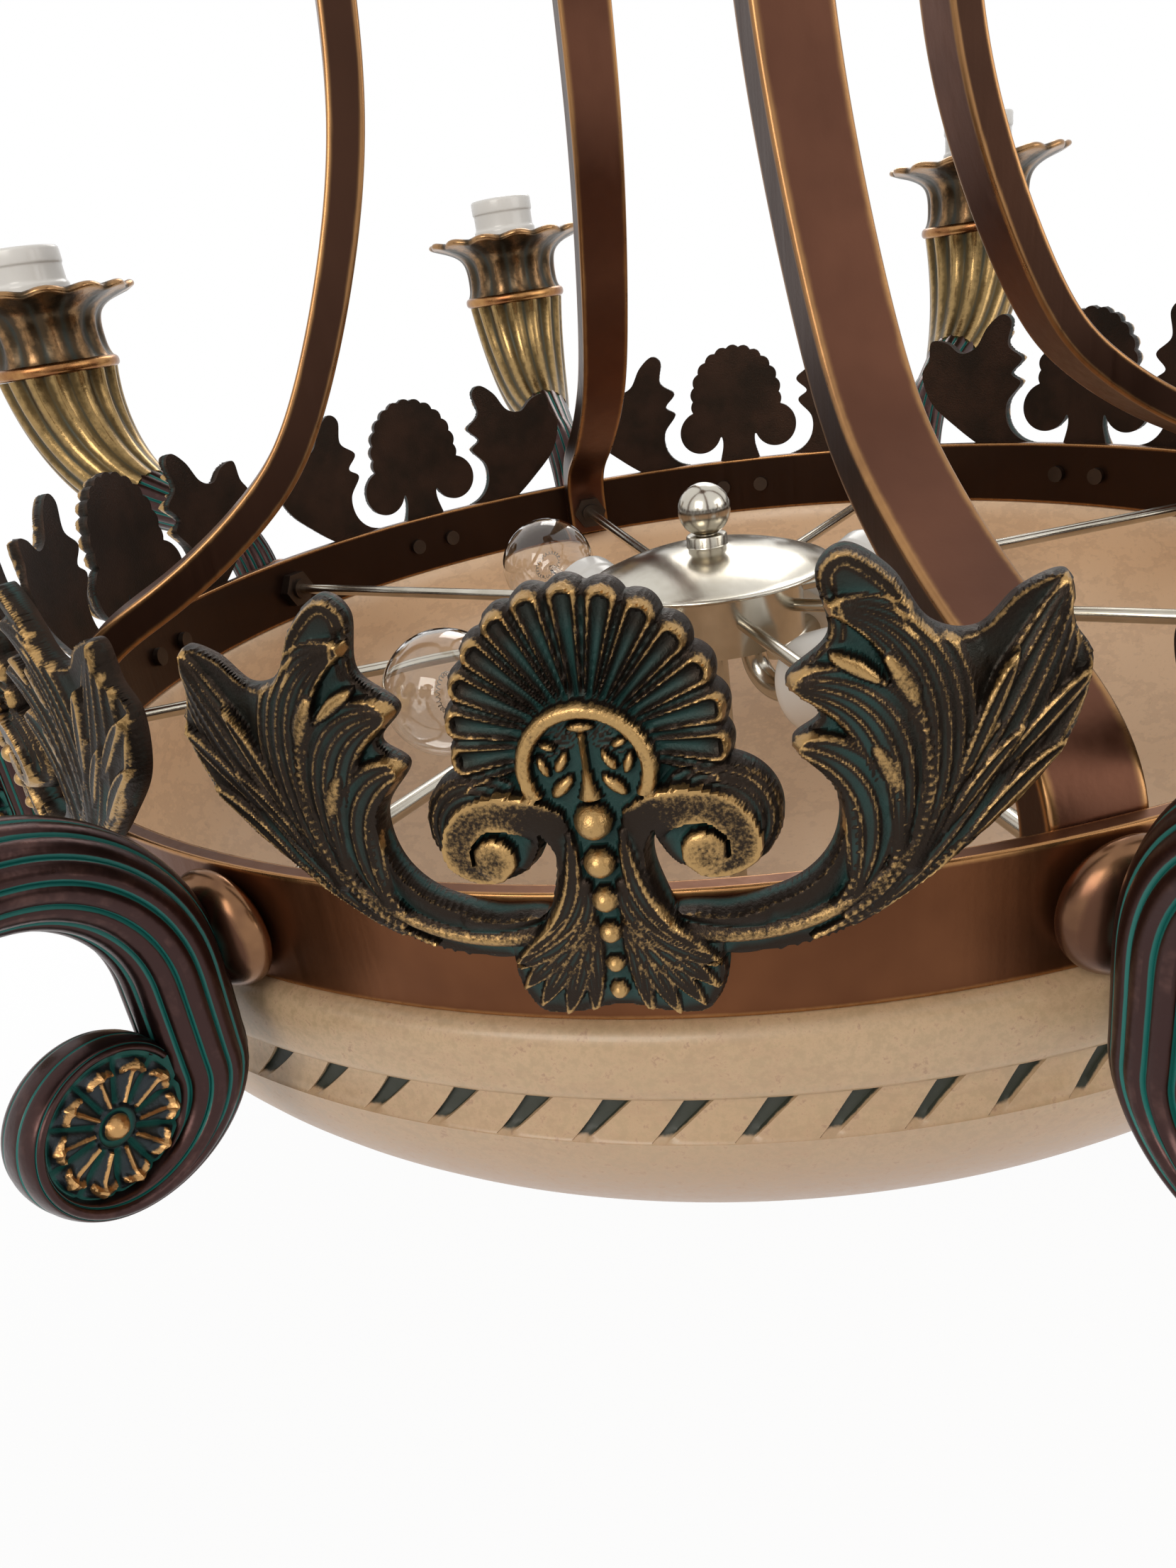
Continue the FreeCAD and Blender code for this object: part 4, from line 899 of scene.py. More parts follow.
def acanthus():
    """One leaf as (height, gold) forms: ground, lobes, saddles, leaflets, a rubbed stem and pearled cords."""
    return [
        (np.full(SIDE.shape, 3.2), 0.2),
        frond([(50, -4), (66, 10), (76, 30), (84.5, 54)], 9.0, 3.2, 2.0, 6),
        frond([(46, -7), (66, 2), (82, 16), (87.5, 36)], 6.0, 3.0, 1.6, 3),
        smooth_band([(58, 8), (66, 26), (62, 50), (48, 62)], 10.0, 3.6, 1.8, 0.1, 0.3),
        frond([(56, 4), (67.5, 27), (62, 53), (42.5, 54)], 6.6, 4.6, 1.6, 6),
        frond([(54, 8), (57, 32), (49, 41), (35.5, 41.5)], 6.4, 4.6, 1.9, 5),
        frond([(46, 0), (53, 17), (46, 28), (35.5, 30)], 6.2, 4.5, 1.8, 4),
        smooth_band([(42, 18), (44.5, 3), (36, -3), (26, -2.5)], 4.4, 4.2, 1.4, 0.12),
        smooth_band([(28, -2.6), (12, -3), (9, 7), (9, 15)], 4.2, 4.4, 2.0, 0.12),
        frond([(64, 18), (68, 27), (71, 35), (74.5, 42)], 2.2, 5.0, 1.3, 2, 0.9),
        frond([(62, 10), (67, 18), (71, 23), (76, 28)], 2.0, 4.8, 1.2, 2, 0.9),
        frond([(72, 20), (78, 27), (83, 32), (87.5, 36)], 2.4, 4.2, 1.2, 2, 0.9),
        frond([(66, 7), (72, 14), (78, 20), (84, 23.5)], 2.4, 4.2, 1.2, 2, 0.9),
        smooth_band([(13, -6), (50, -13), (58, 12), (71, 29)], 2.3, 4.6, 1.8, 0.72, 0.6),
        cord([(38, -9.6), (54, -3), (64, 6), (76, 15)], 1.2, 4.2),
        cord([(44, -5), (60, 2), (65, 27), (53, 44)], 1.3, 5.3, 0.17),
        cord([(44, -5), (55, 1), (58, 17), (50.5, 28)], 1.3, 5.4, 0.24),
        cord([(40, -4.5), (48, 2), (47, 9), (46, 18)], 0.9, 5.2),
        cord([(52, 40), (50, 41.5), (47, 44), (44, 45.5)], 1.0, 5.8, 0.9),
    ]


leaf_forms = acanthus()
print("forms in a leaf", len(leaf_forms))

# %% [markdown]
# The shell's fingers are hollow tongues round one centre, and the scrolls are broad bands wound in to an
# eye. Both are written in polar terms, since distance and angle from a middle say them more simply than x
# and y.

# %% Shell and scroll
BAND_TURNS = (-120, -75, -42, -21, 0, 45, 90, 123, 149, 180, 200)
BAND_OUTER = (4.2, 6.1, 8.3, 10.1, 10.4, 11.2, 12.6, 14.6, 16.4, 14.6, 14.8)
SLOT_TURNS = (-75, -40, -14, 55, 126, 158, 200)
SLOT_OUTER = (0.0, 3.2, 4.5, 5.0, 6.6, 7.4, 6.8)


def shell():
    """Hollow tongues round a centre, each framed by a raised line that is rubbed most at its outer end."""
    x, y = SIDE / FAN_HALF_WIDTH * FAN_CROWN, H - FAN_CENTRE
    turn = np.arctan2(x, y)
    radius = np.hypot(x, y) / FAN_CROWN
    pitch = 2 * FAN_SPREAD / FINGERS
    off = (np.mod(turn / pitch + 0.5, 1) - 0.5) * pitch * radius * FAN_CROWN
    half = np.maximum(0.5 * pitch * radius * FAN_CROWN, 1e-6)
    past = np.clip((radius - 0.93) * FAN_CROWN, 0, None)
    line = bell(np.hypot(off, 1.1 * past) - 0.62 * half, 0.30 + 0.16 * radius)
    lobe = np.clip(1 - (off / half) ** 2, 0, 1) ** 0.5
    hollow = 1.3 * bell(off, 0.42 * half) * (radius < 0.96)
    form = 3.8 + 1.2 * lobe + 0.9 * line + 0.9 * radius - hollow
    outer_end, tip = np.clip((radius - 0.6) / 0.36, 0, 1), np.clip((radius - 0.9) / 0.1, 0, 1)
    on_shell = (radius < 1.2) & (np.abs(turn) < FAN_SPREAD + 0.12)
    return [(np.where(on_shell, form, NOTHING), line * (0.42 + 0.42 * outer_end) + 0.16 * tip + 0.10)]


def scroll():
    """Broad rubbed band wound in to a flat eye, with a slot inside it and lines on its outer wall."""
    x, y = SIDE - EYE[0], H - EYE[1]
    radius = np.hypot(x, y)
    wound = np.mod(np.degrees(np.arctan2(y, x)) + 140, 360) - 140
    outer = np.interp(wound, BAND_TURNS, BAND_OUTER)
    inner = np.interp(wound, SLOT_TURNS, SLOT_OUTER)
    on = (radius < outer) & (radius > inner) & (wound > BAND_TURNS[0]) & (wound < BAND_TURNS[-1])
    tail = np.clip((wound - 125) / 60, 0, 1)
    rim = (bell(outer - radius, 0.6) + 0.7 * bell(radius - inner, 0.5)) * (1 - tail)
    off_middle = (2 * radius - outer - inner) / np.maximum(outer - inner, 1e-6)
    band = np.where(on, 9.0 + 0.45 * rim - tail * (2.6 + 2.0 * off_middle ** 2), NOTHING)
    band_gold = np.interp(wound, (-120, 100, 140, 168), (0.74, 0.70, 0.5, 0.12)) + 0.25 * rim
    eye_edge = EYE_RADIUS + 0.5
    eye = np.where(radius < eye_edge, 9.2 + 0.6 * (1 - (radius / eye_edge) ** 4), NOTHING)
    line = bell(np.mod(scroll_inward + 0.5, 1.6) - 0.8, 0.36)
    wall = np.where(scroll_inward > -0.3, np.minimum(4.2 + 0.6 * scroll_inward, 7.8) + 0.7 * line, NOTHING)
    wall = np.where((radius < outer) & (scroll_inward > -0.3), 6.0, wall)
    wall_gold = np.where(radius < outer, 0.0, 0.16 + 0.50 * line)
    return [(wall, wall_gold), (band, band_gold), (eye, 0.80)]


# %% [markdown]
# Down the axis stand an arch over a bellflower with leaflets, a column of beads, and a fan of small leaves
# at the foot. Beads and leaflets are half ellipsoids, each with its own place and size.

# %% Middle of the ornament
ARCH_CENTRE, ARCH_LINE, ARCH_HALF = 29.9, 11.4, 1.6
LEAFLETS = ((0, 38.0, 2.8, 1.2, 0), (4.9, 26.4, 3.1, 1.4, -0.75), (4.4, 31.2, 2.4, 1.1, -1.0),
            (7.8, 30.6, 2.4, 1.1, 1.2), (6.6, 34.6, 1.8, 0.9, 0.4))
BEADS = ((19.6, 3.8), (11.0, 3.3), (3.0, 2.8), (-4.4, 2.4), (-11.6, 2.0), (-17.8, 2.0))
FOOT_LEAVES = ((20.5, -13.0, 3.6, 6.4), (19.3, -17.8, 3.3, 6.1), (16.5, -22.0, 3.3, 5.9),
               (11.5, -24.4, 3.2, 5.7), (6.0, -24.6, 2.6, 5.5))


def middle():
    """Arch, bellflower and leaflets, beads down the axis, and a fan of small leaves at the foot."""
    from_arch = np.hypot(SIDE, H - ARCH_CENTRE)
    gap = from_arch - ARCH_LINE
    column = (SIDE < np.interp(H, (-24, 0, 18, 26), (2.6, 3.4, 5.6, 7.0))) & (H < 28) & (H > -23)
    arch = np.where((np.abs(gap) < ARCH_HALF) & (H > 24.5), 7.2 + 1.5 * (1 - (gap / ARCH_HALF) ** 4), NOTHING)
    flower_width = 0.75 + 1.9 * np.clip((32.5 - H) / 9, 0, 1) ** 2.2
    on_flower = (SIDE < flower_width) & (H > 23.8) & (H < 36.6)
    forms = [(np.where((from_arch < ARCH_LINE - 0.2) | column, 5.2, NOTHING), 0.0),
             (np.where((SIDE < 21) & (H < -7.5), 5.4, NOTHING), 0.1),
             (arch, 0.74),
             (np.where(on_flower, 6.2 + 2.0 * (1 - (SIDE / flower_width) ** 2), NOTHING), 0.8)]
    for x, y, long, wide, lean in LEAFLETS:
        c, s = math.cos(lean), math.sin(lean)
        p, q = (SIDE - x) * c + (H - y) * s, -(SIDE - x) * s + (H - y) * c
        inside = np.clip(1 - (p / long) ** 2 - (q / wide) ** 2, 0, None)
        forms.append((np.where(inside > 0, 6.0 + 1.6 * np.sqrt(inside), NOTHING), 0.75))
    for y, size in BEADS:
        inside = np.clip(size ** 2 - SIDE ** 2 - (H - y) ** 2, 0, None)
        forms.append((np.where(inside > 0, 5.8 + 1.3 * np.sqrt(inside), NOTHING), 0.86))
    for tip_x, tip_y, wide, top in FOOT_LEAVES:
        spine = [(3.5, 6), (4.5, -5), (0.62 * tip_x, 0.62 * tip_y + 1.5), (tip_x, tip_y)]
        forms.append(frond(spine, wide, top, 0.9, 3, 0.8))
    forms.append(frond([(5.0, 17), (4.8, 5), (7.5, -3), (19, -10.0)], 2.4, 6.2, 1.2, 2, 0.85))
    return forms


middle_forms = middle()
print("forms down the middle", len(middle_forms))

# %% [markdown]
# The relief is the highest form at every point, softened a little as a worn casting is, and let down
# towards the outline. The rub mark is each form's own gold, plus how far a place stands over a blurred copy
# of the relief. The fields of the shell and of the leaves stay brown, so the mark has a floor there.

# %% Relief and rub
SOFTENING, SURROUNDINGS = 0.28 / STEP, 1.4 / STEP
JOINS = ((11.5, 21.5), (14.0, -5.5))


def mirrored(half):
    """Field on the whole width: the half beside the axis and its reflection."""
    return np.concatenate([half[:0:-1], half])


def blurred(field, width):
    """Running average with a bell-shaped weight, first down the rows and then across."""
    reach = int(3 * width) + 1
    weight = bell(np.arange(-reach, reach + 1), math.sqrt(2) * width)
    weight /= weight.sum()
    padded = np.pad(field, reach, mode="edge")
    rows = sum(w * padded[i:i + field.shape[0], :] for i, w in enumerate(weight))
    return sum(w * rows[:, i:i + field.shape[1]] for i, w in enumerate(weight))


def topmost(forms):
    """Highest of several (height, gold) forms at every point, and how much gold that form has there."""
    heights = np.stack([height for height, gold in forms])
    golds = np.stack([np.broadcast_to(gold, SIDE.shape) for height, gold in forms])
    pick = heights.argmax(axis=0)[None]
    return np.take_along_axis(heights, pick, 0)[0], np.take_along_axis(golds, pick, 0)[0]


relief, gilding = [mirrored(field) for field in topmost(leaf_forms + shell() + scroll() + middle_forms)]
side_sign = np.where(np.arange(len(relief)) < len(SIDE) - 1, -1.0, 1.0)[:, None]
out, height, edge = mirrored(SIDE), mirrored(H), mirrored(half_edge)
across = side_sign * out
relief = 0.5 * relief + 0.5 * blurred(relief, SOFTENING)
joins = sum(bell(np.hypot(out - x, height - y), 4.5) for x, y in JOINS)
inward = np.clip(-edge, 0, None) * (1 + 3 * joins)
relief = np.minimum(relief, 1.6 + 4.0 * (1 - np.exp(-inward / 0.9)) + 1.6 * inward)
on_leaf = ((out > 33) & (height > 24)) * 1.0
on_top_lobe = on_leaf * (out < 66) * (height > 47)
rim_gold = np.maximum((0.12 + 0.24 * on_leaf) * bell(inward - 0.7, 0.42),
                      0.4 * on_top_lobe * bell(inward - 2.6, 0.42))
fan_reach = np.hypot(out, height - FAN_CENTRE) / FAN_CROWN
on_fan = (out < FAN_HALF_WIDTH + 2.5) & (height > FAN_CENTRE - 9)
brown_fan = 0.33 * on_fan * np.clip((fan_reach - 0.55) / 0.3, 0, 1)
brown_leaf = 0.32 * np.clip((out - 40) / 16, 0, 1) * np.clip((height - 8) / 12, 0, 1)
rub_map = 0.23 + 0.62 * gilding + 0.22 * (relief - blurred(relief, SURROUNDINGS)) + rim_gold
rub_map = np.maximum.reduce([rub_map, brown_fan, brown_leaf])
print("relief in mm", np.round([relief[edge < 0].min(), relief[edge < 0].max()], 2))

# %% [markdown]
# The flat carving is now bent round the ring and closed like a real casting. Points close to the outline
# are drawn onto it, so that the edge is a clean curve, and a thin wall goes from there back to the ring.
# The plain back is triangulated from the outline and a few inner points, since a casting like this is left
# plain behind.

# %% Cast the eight ornaments
BACK_STRIDE, BACK_INSET, BACK_PROUD, BACK_RUB = 14, 1.5, 0.05, 0.46
RELIEF_LOW, RELIEF_HIGH = 0.8, 12.8


def on_cylinder(u, h, proud):
    """Points at a side distance, a height and a distance proud of the ring."""
    return np.stack([np.sqrt((RING_RADIUS + proud) ** 2 - u ** 2), u, h + RING_TOP], axis=-1)


def rim_pairs(block, count):
    """Sides of cells that no other cell runs along the other way, as pairs of corner numbers."""
    pairs = np.concatenate([block[:, [0, 1]], block[:, [1, 2]], block[:, [2, 3]], block[:, [3, 0]]])
    return pairs[~np.isin(pairs[:, 0] * count + pairs[:, 1], pairs[:, 1] * count + pairs[:, 0])]


def cast_relief():
    """Front grid inside the outline, its edge points moved onto it, walls round it and a plain back."""
    slope_u, slope_h = np.gradient(edge, STEP)
    near = np.abs(edge) < 0.75 * STEP
    u = (across - np.where(near, edge * slope_u, 0)).ravel()
    h = (height - np.where(near, edge * slope_h, 0)).ravel()
    solid = ((edge <= 0) | near).ravel()
    block = cells(*edge.shape)
    block = block[solid[block].all(axis=1)]
    rim = rim_pairs(block, u.size)
    used, packed = np.unique(block, return_inverse=True)
    block = packed.reshape(-1, 4)
    front = on_cylinder(u[used], h[used], np.clip(relief.ravel()[used], RELIEF_LOW, RELIEF_HIGH))

    round_rim, at_rim = np.unique(rim, return_inverse=True)
    at_rim = at_rim.reshape(-1, 2)
    row, column = np.indices(edge.shape)
    lattice = np.flatnonzero((edge < -BACK_INSET) & (row % BACK_STRIDE == 0) & (column % BACK_STRIDE == 0))
    flat = np.stack([u, h], axis=1)[np.concatenate([round_rim, lattice])]
    filled = delaunay_2d_cdt(list(map(Vector, flat.tolist())), at_rim.tolist(), [], 4, 1e-6)
    spots, triangles = np.array(list(map(tuple, filled[0]))), np.array(filled[2])
    back = on_cylinder(spots[:, 0], spots[:, 1], BACK_PROUD)
    foot = on_cylinder(u[round_rim], h[round_rim], BACK_PROUD)

    first, second = np.searchsorted(used, rim).T
    low = at_rim + len(front)
    wall = np.vstack([np.stack([second, first, low[:, 0]], axis=1),
                      np.stack([second, low[:, 0], low[:, 1]], axis=1)])
    faces = np.vstack([block[:, [0, 1, 2]], block[:, [0, 2, 3]], wall, triangles + len(front) + len(foot)])
    rest = len(foot) + len(back)
    rub = np.concatenate([rub_map.ravel()[used], np.full(rest, BACK_RUB)])
    return np.vstack([front, foot, back]), faces, rub, np.repeat([0.0, 1.0], (len(front), rest))


ornament_points, ornament_faces, ornament_rub, ornament_plain = cast_relief()
round_axis(ARMS, ("palmette", ornament_points, ornament_faces, CAST, "ornament",
                  {"rub": ornament_rub, "plain": ornament_plain}), first=SECTOR / 2)
print("ornament triangles", len(ornament_faces))

# %% [markdown]
# The bowl is turned from stone: a round rim band, a sunk frieze, a deep belly and a wall of even thickness.
# The frieze is carved into slanted strands like a rope, so its radius ripples with the angle and the height
# together, and old green paint lies in the hollow side of each strand.

# %% Stone bowl
MARKS = 90
BELLY_HEIGHT, BELLY_RADIUS, BELLY_DEPTH, BOWL_WALL = -52.0, 254.5, 116.0, 12.0
BAND_LOW, FRIEZE_LOW, FRIEZE_RADIUS, STROKE_DEPTH = -49.3, -60.5, 250.8, 1.5
LAND_RADIUS, HOLE_RADIUS = 24.0, 5.0
RIM_BAND = [(247.0, -30.5), (251.8, -30.5), (254.5, -33.0), (254.5, -40.0), (254.3, -46.0), (253.6, -49.1),
            (252.0, BAND_LOW)]
RIM_LIP = [(242.5, -40.0), (243.2, -32.5), (244.5, -30.6)]
BAND_ROWS, FRIEZE_ROWS, BELLY_ROWS, WELL_ROWS = 14, 16, 32, 20
COLUMNS = np.array([0.0, 0.03, 0.15, 0.27, 0.37, 0.40, 0.50, 0.63, 0.78, 0.92])
PAINTED = np.array([0.0, 1.0, 1.0, 1.0, 1.0, 0.0, 0.0, 0.0, 0.0, 0.0])
RAISED = np.array([0.3, 0.0, 0.0, 0.0, 0.0, 0.0, 0.1, 0.2, 0.3, 0.5])


def bowl_profile():
    """Closed line of (radius, height): band, frieze, outer ellipse, flat land, hole, inner ellipse, lip."""
    fall = np.linspace(0, 1, FRIEZE_ROWS)
    frieze_height = BAND_LOW - 0.1 + (FRIEZE_LOW + 0.3 - BAND_LOW) * fall
    frieze = np.stack([FRIEZE_RADIUS + 2.7 * fall ** 2.2, frieze_height], axis=1)
    start = math.asin((BELLY_HEIGHT - FRIEZE_LOW) / BELLY_DEPTH)
    t = np.linspace(start, math.acos(LAND_RADIUS / BELLY_RADIUS), BELLY_ROWS)
    outer = np.stack([BELLY_RADIUS * np.cos(t), BELLY_HEIGHT - BELLY_DEPTH * np.sin(t)], axis=1)
    inner_radius, inner_depth = BELLY_RADIUS - BOWL_WALL, BELLY_DEPTH - BOWL_WALL
    s = np.linspace(math.acos(LAND_RADIUS / inner_radius), 0, WELL_ROWS)
    inner = np.stack([inner_radius * np.cos(s), BELLY_HEIGHT - inner_depth * np.sin(s)], axis=1)
    hole = [(HOLE_RADIUS, outer[-1, 1]), (HOLE_RADIUS, inner[0, 1])]
    return np.vstack([clamped_curve(RIM_BAND, BAND_ROWS), frieze, outer, hole, inner, RIM_LIP])


def bowl_surface():
    """Profile carried round; its columns draw together and lean, so that each stroke keeps to its own."""
    radius, down = bowl_profile().T
    row = np.arange(len(radius))
    in_frieze = (row >= BAND_ROWS) & (row < BAND_ROWS + FRIEZE_ROWS)
    upper = np.clip((down - FRIEZE_LOW) / (BAND_LOW - FRIEZE_LOW), 0, 1)
    share = np.tile(COLUMNS, MARKS)[:, None]
    width = 0.18 + 0.22 * upper
    drawn = np.where(share < 0.4, share / 0.4 * width, width + (share - 0.4) / 0.6 * (1 - width))
    lean = 0.42 * upper - 0.08 * (1 - upper) ** 3
    turn = (np.repeat(np.arange(MARKS), len(COLUMNS))[:, None] + drawn + lean) * 2 * np.pi / MARKS
    fade = in_frieze * np.clip(upper * 6 - 0.2, 0, 1)
    stroke = np.tile(PAINTED, MARKS)[:, None] * fade
    carved = radius - STROKE_DEPTH * stroke + np.tile(RAISED, MARKS)[:, None] * fade
    grid = np.stack([carved * np.cos(turn), carved * np.sin(turn), down + RING_TOP + 0 * turn], axis=-1)
    inside = 1.0 * (row > BAND_ROWS + FRIEZE_ROWS + BELLY_ROWS + 1)
    # The lower mark grows towards the foot: partly the stone's warmer tone, partly painted shade.
    return grid, {"paint": 1.3 * stroke, "low_tint_and_shade": np.clip((-54 - down) / 45, 0, 1) * 0.9, "inside": inside}


bowl_grid, bowl_marks = bowl_surface()
bowl_faces = cells(*bowl_grid.shape[:2], True, True)
piece("stone_bowl", bowl_grid, bowl_faces, STONE, ["bowl"], **bowl_marks)
print("bowl cells", len(bowl_faces))

# %% [markdown]
# In the middle sit the plated hub cover and its ball nut, and under the bowl hangs the finial, all turned.
# The cover is a shallow dome with a rolled edge and a stepped seat, and the ball has a small flat where it
# bears.

# %% Hub cover, ball nut and finial
COVER_EDGE = [(47.0, -3.0), (48.0, -3.0), (48.0, -1.4), (46.5, -1.2)]
COVER_DOME = [(45.5, -0.9), (40.0, 1.5), (30.0, 5.0), (18.0, 7.4), (9.0, 8.0)]
COVER_SEAT = [(8.2, 8.2), (8.0, 8.6), (8.0, 11.8), (7.6, 12.4), (7.0, 12.5), (4.0, 12.5)]
KNOB_COLLAR = [(12.0, 0.0, 0.6), (12.0, -3.0, 0.6), (9.0, -5.5, 1.0)]
KNOB_DROP = [(9.0, -6.0), (10.5, -8.0), (14.0, -11.0), (14.0, -21.0), (9.0, -28.0), (3.2, -30.0),
             (0.0, -30.0)]
BALL_RADIUS, BALL_MIDDLE, BALL_SEAT, BORE, FINIAL_TOP = 10.25, 22.05, 12.8, 4.05, -170.8

cover_line = np.vstack([[(4.0, -3.0)], clamped_curve(COVER_EDGE, 8), clamped_curve(COVER_DOME, 24),
                        COVER_SEAT])
piece("hub_dome", *turned(cover_line, 96, (0.0, 0.0, RING_TOP)), NICKEL, ["hub_cover"])

swing = np.linspace(-64.5, 90, 40) * np.pi / 180
ball = np.stack([BALL_RADIUS * np.cos(swing), BALL_MIDDLE + BALL_RADIUS * np.sin(swing)], axis=1)
ball_line = np.vstack([[(BORE, BALL_SEAT)], ball, [(0.0, 24.3), (BORE, 24.3)]])
piece("ball_knob", *turned(ball_line, 64, (0.0, 0.0, RING_TOP)), NICKEL, ["ball_nut"], body="ball nut")

knob_line = np.vstack([[(BORE, 0.0)], softened(KNOB_COLLAR, 1.2)[:10], clamped_curve(KNOB_DROP, 26),
                       [(0.0, -14.8), (BORE, -14.8)]])
knob_form = turned(knob_line, 64, (0.0, 0.0, RING_TOP + FINIAL_TOP))
piece("finial_knob", *knob_form, COPPERY, ["finial"], body="finial")
print("points in the cover's, ball's and finial's lines", len(cover_line), len(ball_line), len(knob_line))

# %% [markdown]
# The lampholders are white moulded cups with a stepped collar and a brass screw shell inside. The same
# turned profile serves the eight that stand in the cups and the four over the bowl, each turned about its
# own axis.

# %% Lampholders
CUP_HOLDER = {"radius": 20.0, "length": 41.0, "depth": 26.0}
BOWL_HOLDER = {"radius": 19.5, "length": 45.0, "depth": 28.0}
HOLDER_SEGMENTS, SHELL_SEGMENTS, SHELL_ROWS, THREAD_PITCH = 64, 32, 26, 3.6
LAMP_TILT, TUBE_OUT, TUBE_DROP, TUBE_BEND, TUBE_END = math.radians(20.0), 22.0, 31.0, 14.0, 14.0
UPWARD = np.array([0.0, 0.0, 1.0])
HOLDER_FOOT = np.array([MOUTH[0], 0.0, RING_TOP + MOUTH[1] + 22.0])
LAMP_WAY = np.array([math.cos(LAMP_TILT), 0.0, math.sin(LAMP_TILT)])
BEND_END = np.array([TUBE_OUT + TUBE_BEND * (1 + math.sin(LAMP_TILT)), 0.0,
                     RING_TOP - TUBE_DROP - TUBE_BEND * math.cos(LAMP_TILT)])
LAMP_BASE = BEND_END + TUBE_END * LAMP_WAY


def holder_profile(radius, length, depth):
    """Outer steps, rounded lip, socket wall and socket floor of a lampholder, from its foot to its axis."""
    return softened([(0, 0, 0), (radius - 1, 0, 0.5), (radius, 3, 1), (radius, length * 0.55, 0.6),
                     (radius - 1.1, length * 0.58, 0.6), (radius - 1.1, length * 0.78, 0.5),
                     (radius - 0.4, length * 0.8, 0.5), (radius - 0.4, length - 0.2, 1.2),
                     (15.0, length - 0.2, 1.2), (14.6, length - depth, 0.2), (0, length - depth, 0)], 1.6, 3)


def shell_profile(length, depth):
    """Screw shell inside a holder: a thin wall whose radius waves like a thread."""
    z = np.linspace(length - depth + 0.5, length - 3.0, SHELL_ROWS)
    wall = np.stack([13.9 + 0.5 * np.sin((z - z[0]) / THREAD_PITCH * 2 * np.pi), z], axis=1)
    return np.vstack([wall, wall[::-1] + np.array([0.6, 0.0])])


def holders(name, node, size, count, origin, way, first):
    """White holders at even angles, and the screw shells inside them as a second piece."""
    cup = turned_along(holder_profile(**size), HOLDER_SEGMENTS, origin, way)
    wall = shell_profile(size["length"], size["depth"])
    thread = turned_along(wall, SHELL_SEGMENTS, origin, way, closed=True)
    piece(f"{name}_holders", *joined_copies(count, *cup, first), WHITE, [node])
    piece(f"{name}_screw_shells", *joined_copies(count, *thread, first), THREAD)


holders("cup", "lampholders", CUP_HOLDER, ARMS, HOLDER_FOOT, UPWARD, 0.0)
holders("bowl", "inner_lampholders", BOWL_HOLDER, LAMPS, LAMP_BASE, LAMP_WAY, SECTOR / 2)
print("holders", ARMS + LAMPS)

# %% [markdown]
# Each lamp over the bowl is a thin-walled clear globe on a brass cap, with a glass stem and a coiled
# filament inside. The globe has a real inner wall, since a thin shell hardly bends the light and a solid
# ball would work as a lens.

# %% Lamps
GLOBE_RADIUS, GLOBE_MIDDLE, GLASS_WALL, CAP_LENGTH, CAP_GAP = 22.4, 30.0, 0.7, 26.0, 0.3
GLOBE_AT = LAMP_BASE + LAMP_WAY * (BOWL_HOLDER["length"] - BOWL_HOLDER["depth"] + CAP_LENGTH + CAP_GAP)
GLOBE_NECK = [(13.0, -1.0), (13.0, 5.0), (13.6, 9.0), (16.0, 13.0)]
CAP = [(0, -25.6, 0), (5, -25.6, 0.4), (9, -22, 0.6), (12.9, -19, 0.6), (12.9, -0.5, 0.4), (0, -0.5, 0)]
POST = [(0, -0.4, 0), (5, -0.4, 0.5), (3, 9, 1), (1.6, 24, 1), (1.9, 27, 0.6), (0, 28, 0)]
COIL_TURNS, COIL_POINTS, COIL_SIDES, LOOP_RADIUS, COIL_RADIUS, WIRE_RADIUS = 22, 440, 5, 6.5, 0.7, 0.16


def globe_profile(wall):
    """Pear-shaped outline: a short neck that opens into a sphere, moved in by the wall."""
    neck = clamped_curve(GLOBE_NECK, 10) - np.array([wall, 0.0])
    swing = np.linspace(math.radians(-42), math.radians(90), 28)
    radius = GLOBE_RADIUS - wall
    sphere = np.stack([radius * np.cos(swing), GLOBE_MIDDLE + radius * np.sin(swing)], axis=1)
    return np.vstack([neck, sphere])


def tube_along(path, radius, sides):
    """Round tube along a path: each ring lies square to the path's direction."""
    way = np.gradient(path, axis=0)
    way /= np.linalg.norm(way, axis=1, keepdims=True)
    first = np.cross(way, (0.0, 0.0, 1.0))
    first /= np.linalg.norm(first, axis=1, keepdims=True)
    second = np.cross(way, first)
    spin = np.linspace(0, 2 * np.pi, sides, endpoint=False)[None, :, None]
    return path[:, None, :] + radius * (np.cos(spin) * first[:, None] + np.sin(spin) * second[:, None])


def filament():
    """Fine coil bent into a loop: a small circle turned COIL_TURNS times on its way round a large one."""
    spin = np.linspace(0, COIL_TURNS * 2 * np.pi, COIL_POINTS)
    reach, around = LOOP_RADIUS + COIL_RADIUS * np.cos(spin), spin / COIL_TURNS
    up = GLOBE_MIDDLE + COIL_RADIUS * np.sin(spin)
    path = np.stack([reach * np.cos(around), reach * np.sin(around), up], axis=1)
    lamp_axes = np.stack([np.cross((0.0, 1.0, 0.0), LAMP_WAY), (0.0, 1.0, 0.0), LAMP_WAY])
    grid = GLOBE_AT + tube_along(path, WIRE_RADIUS, COIL_SIDES) @ lamp_axes
    return grid, cells(COIL_POINTS, COIL_SIDES, False, True)


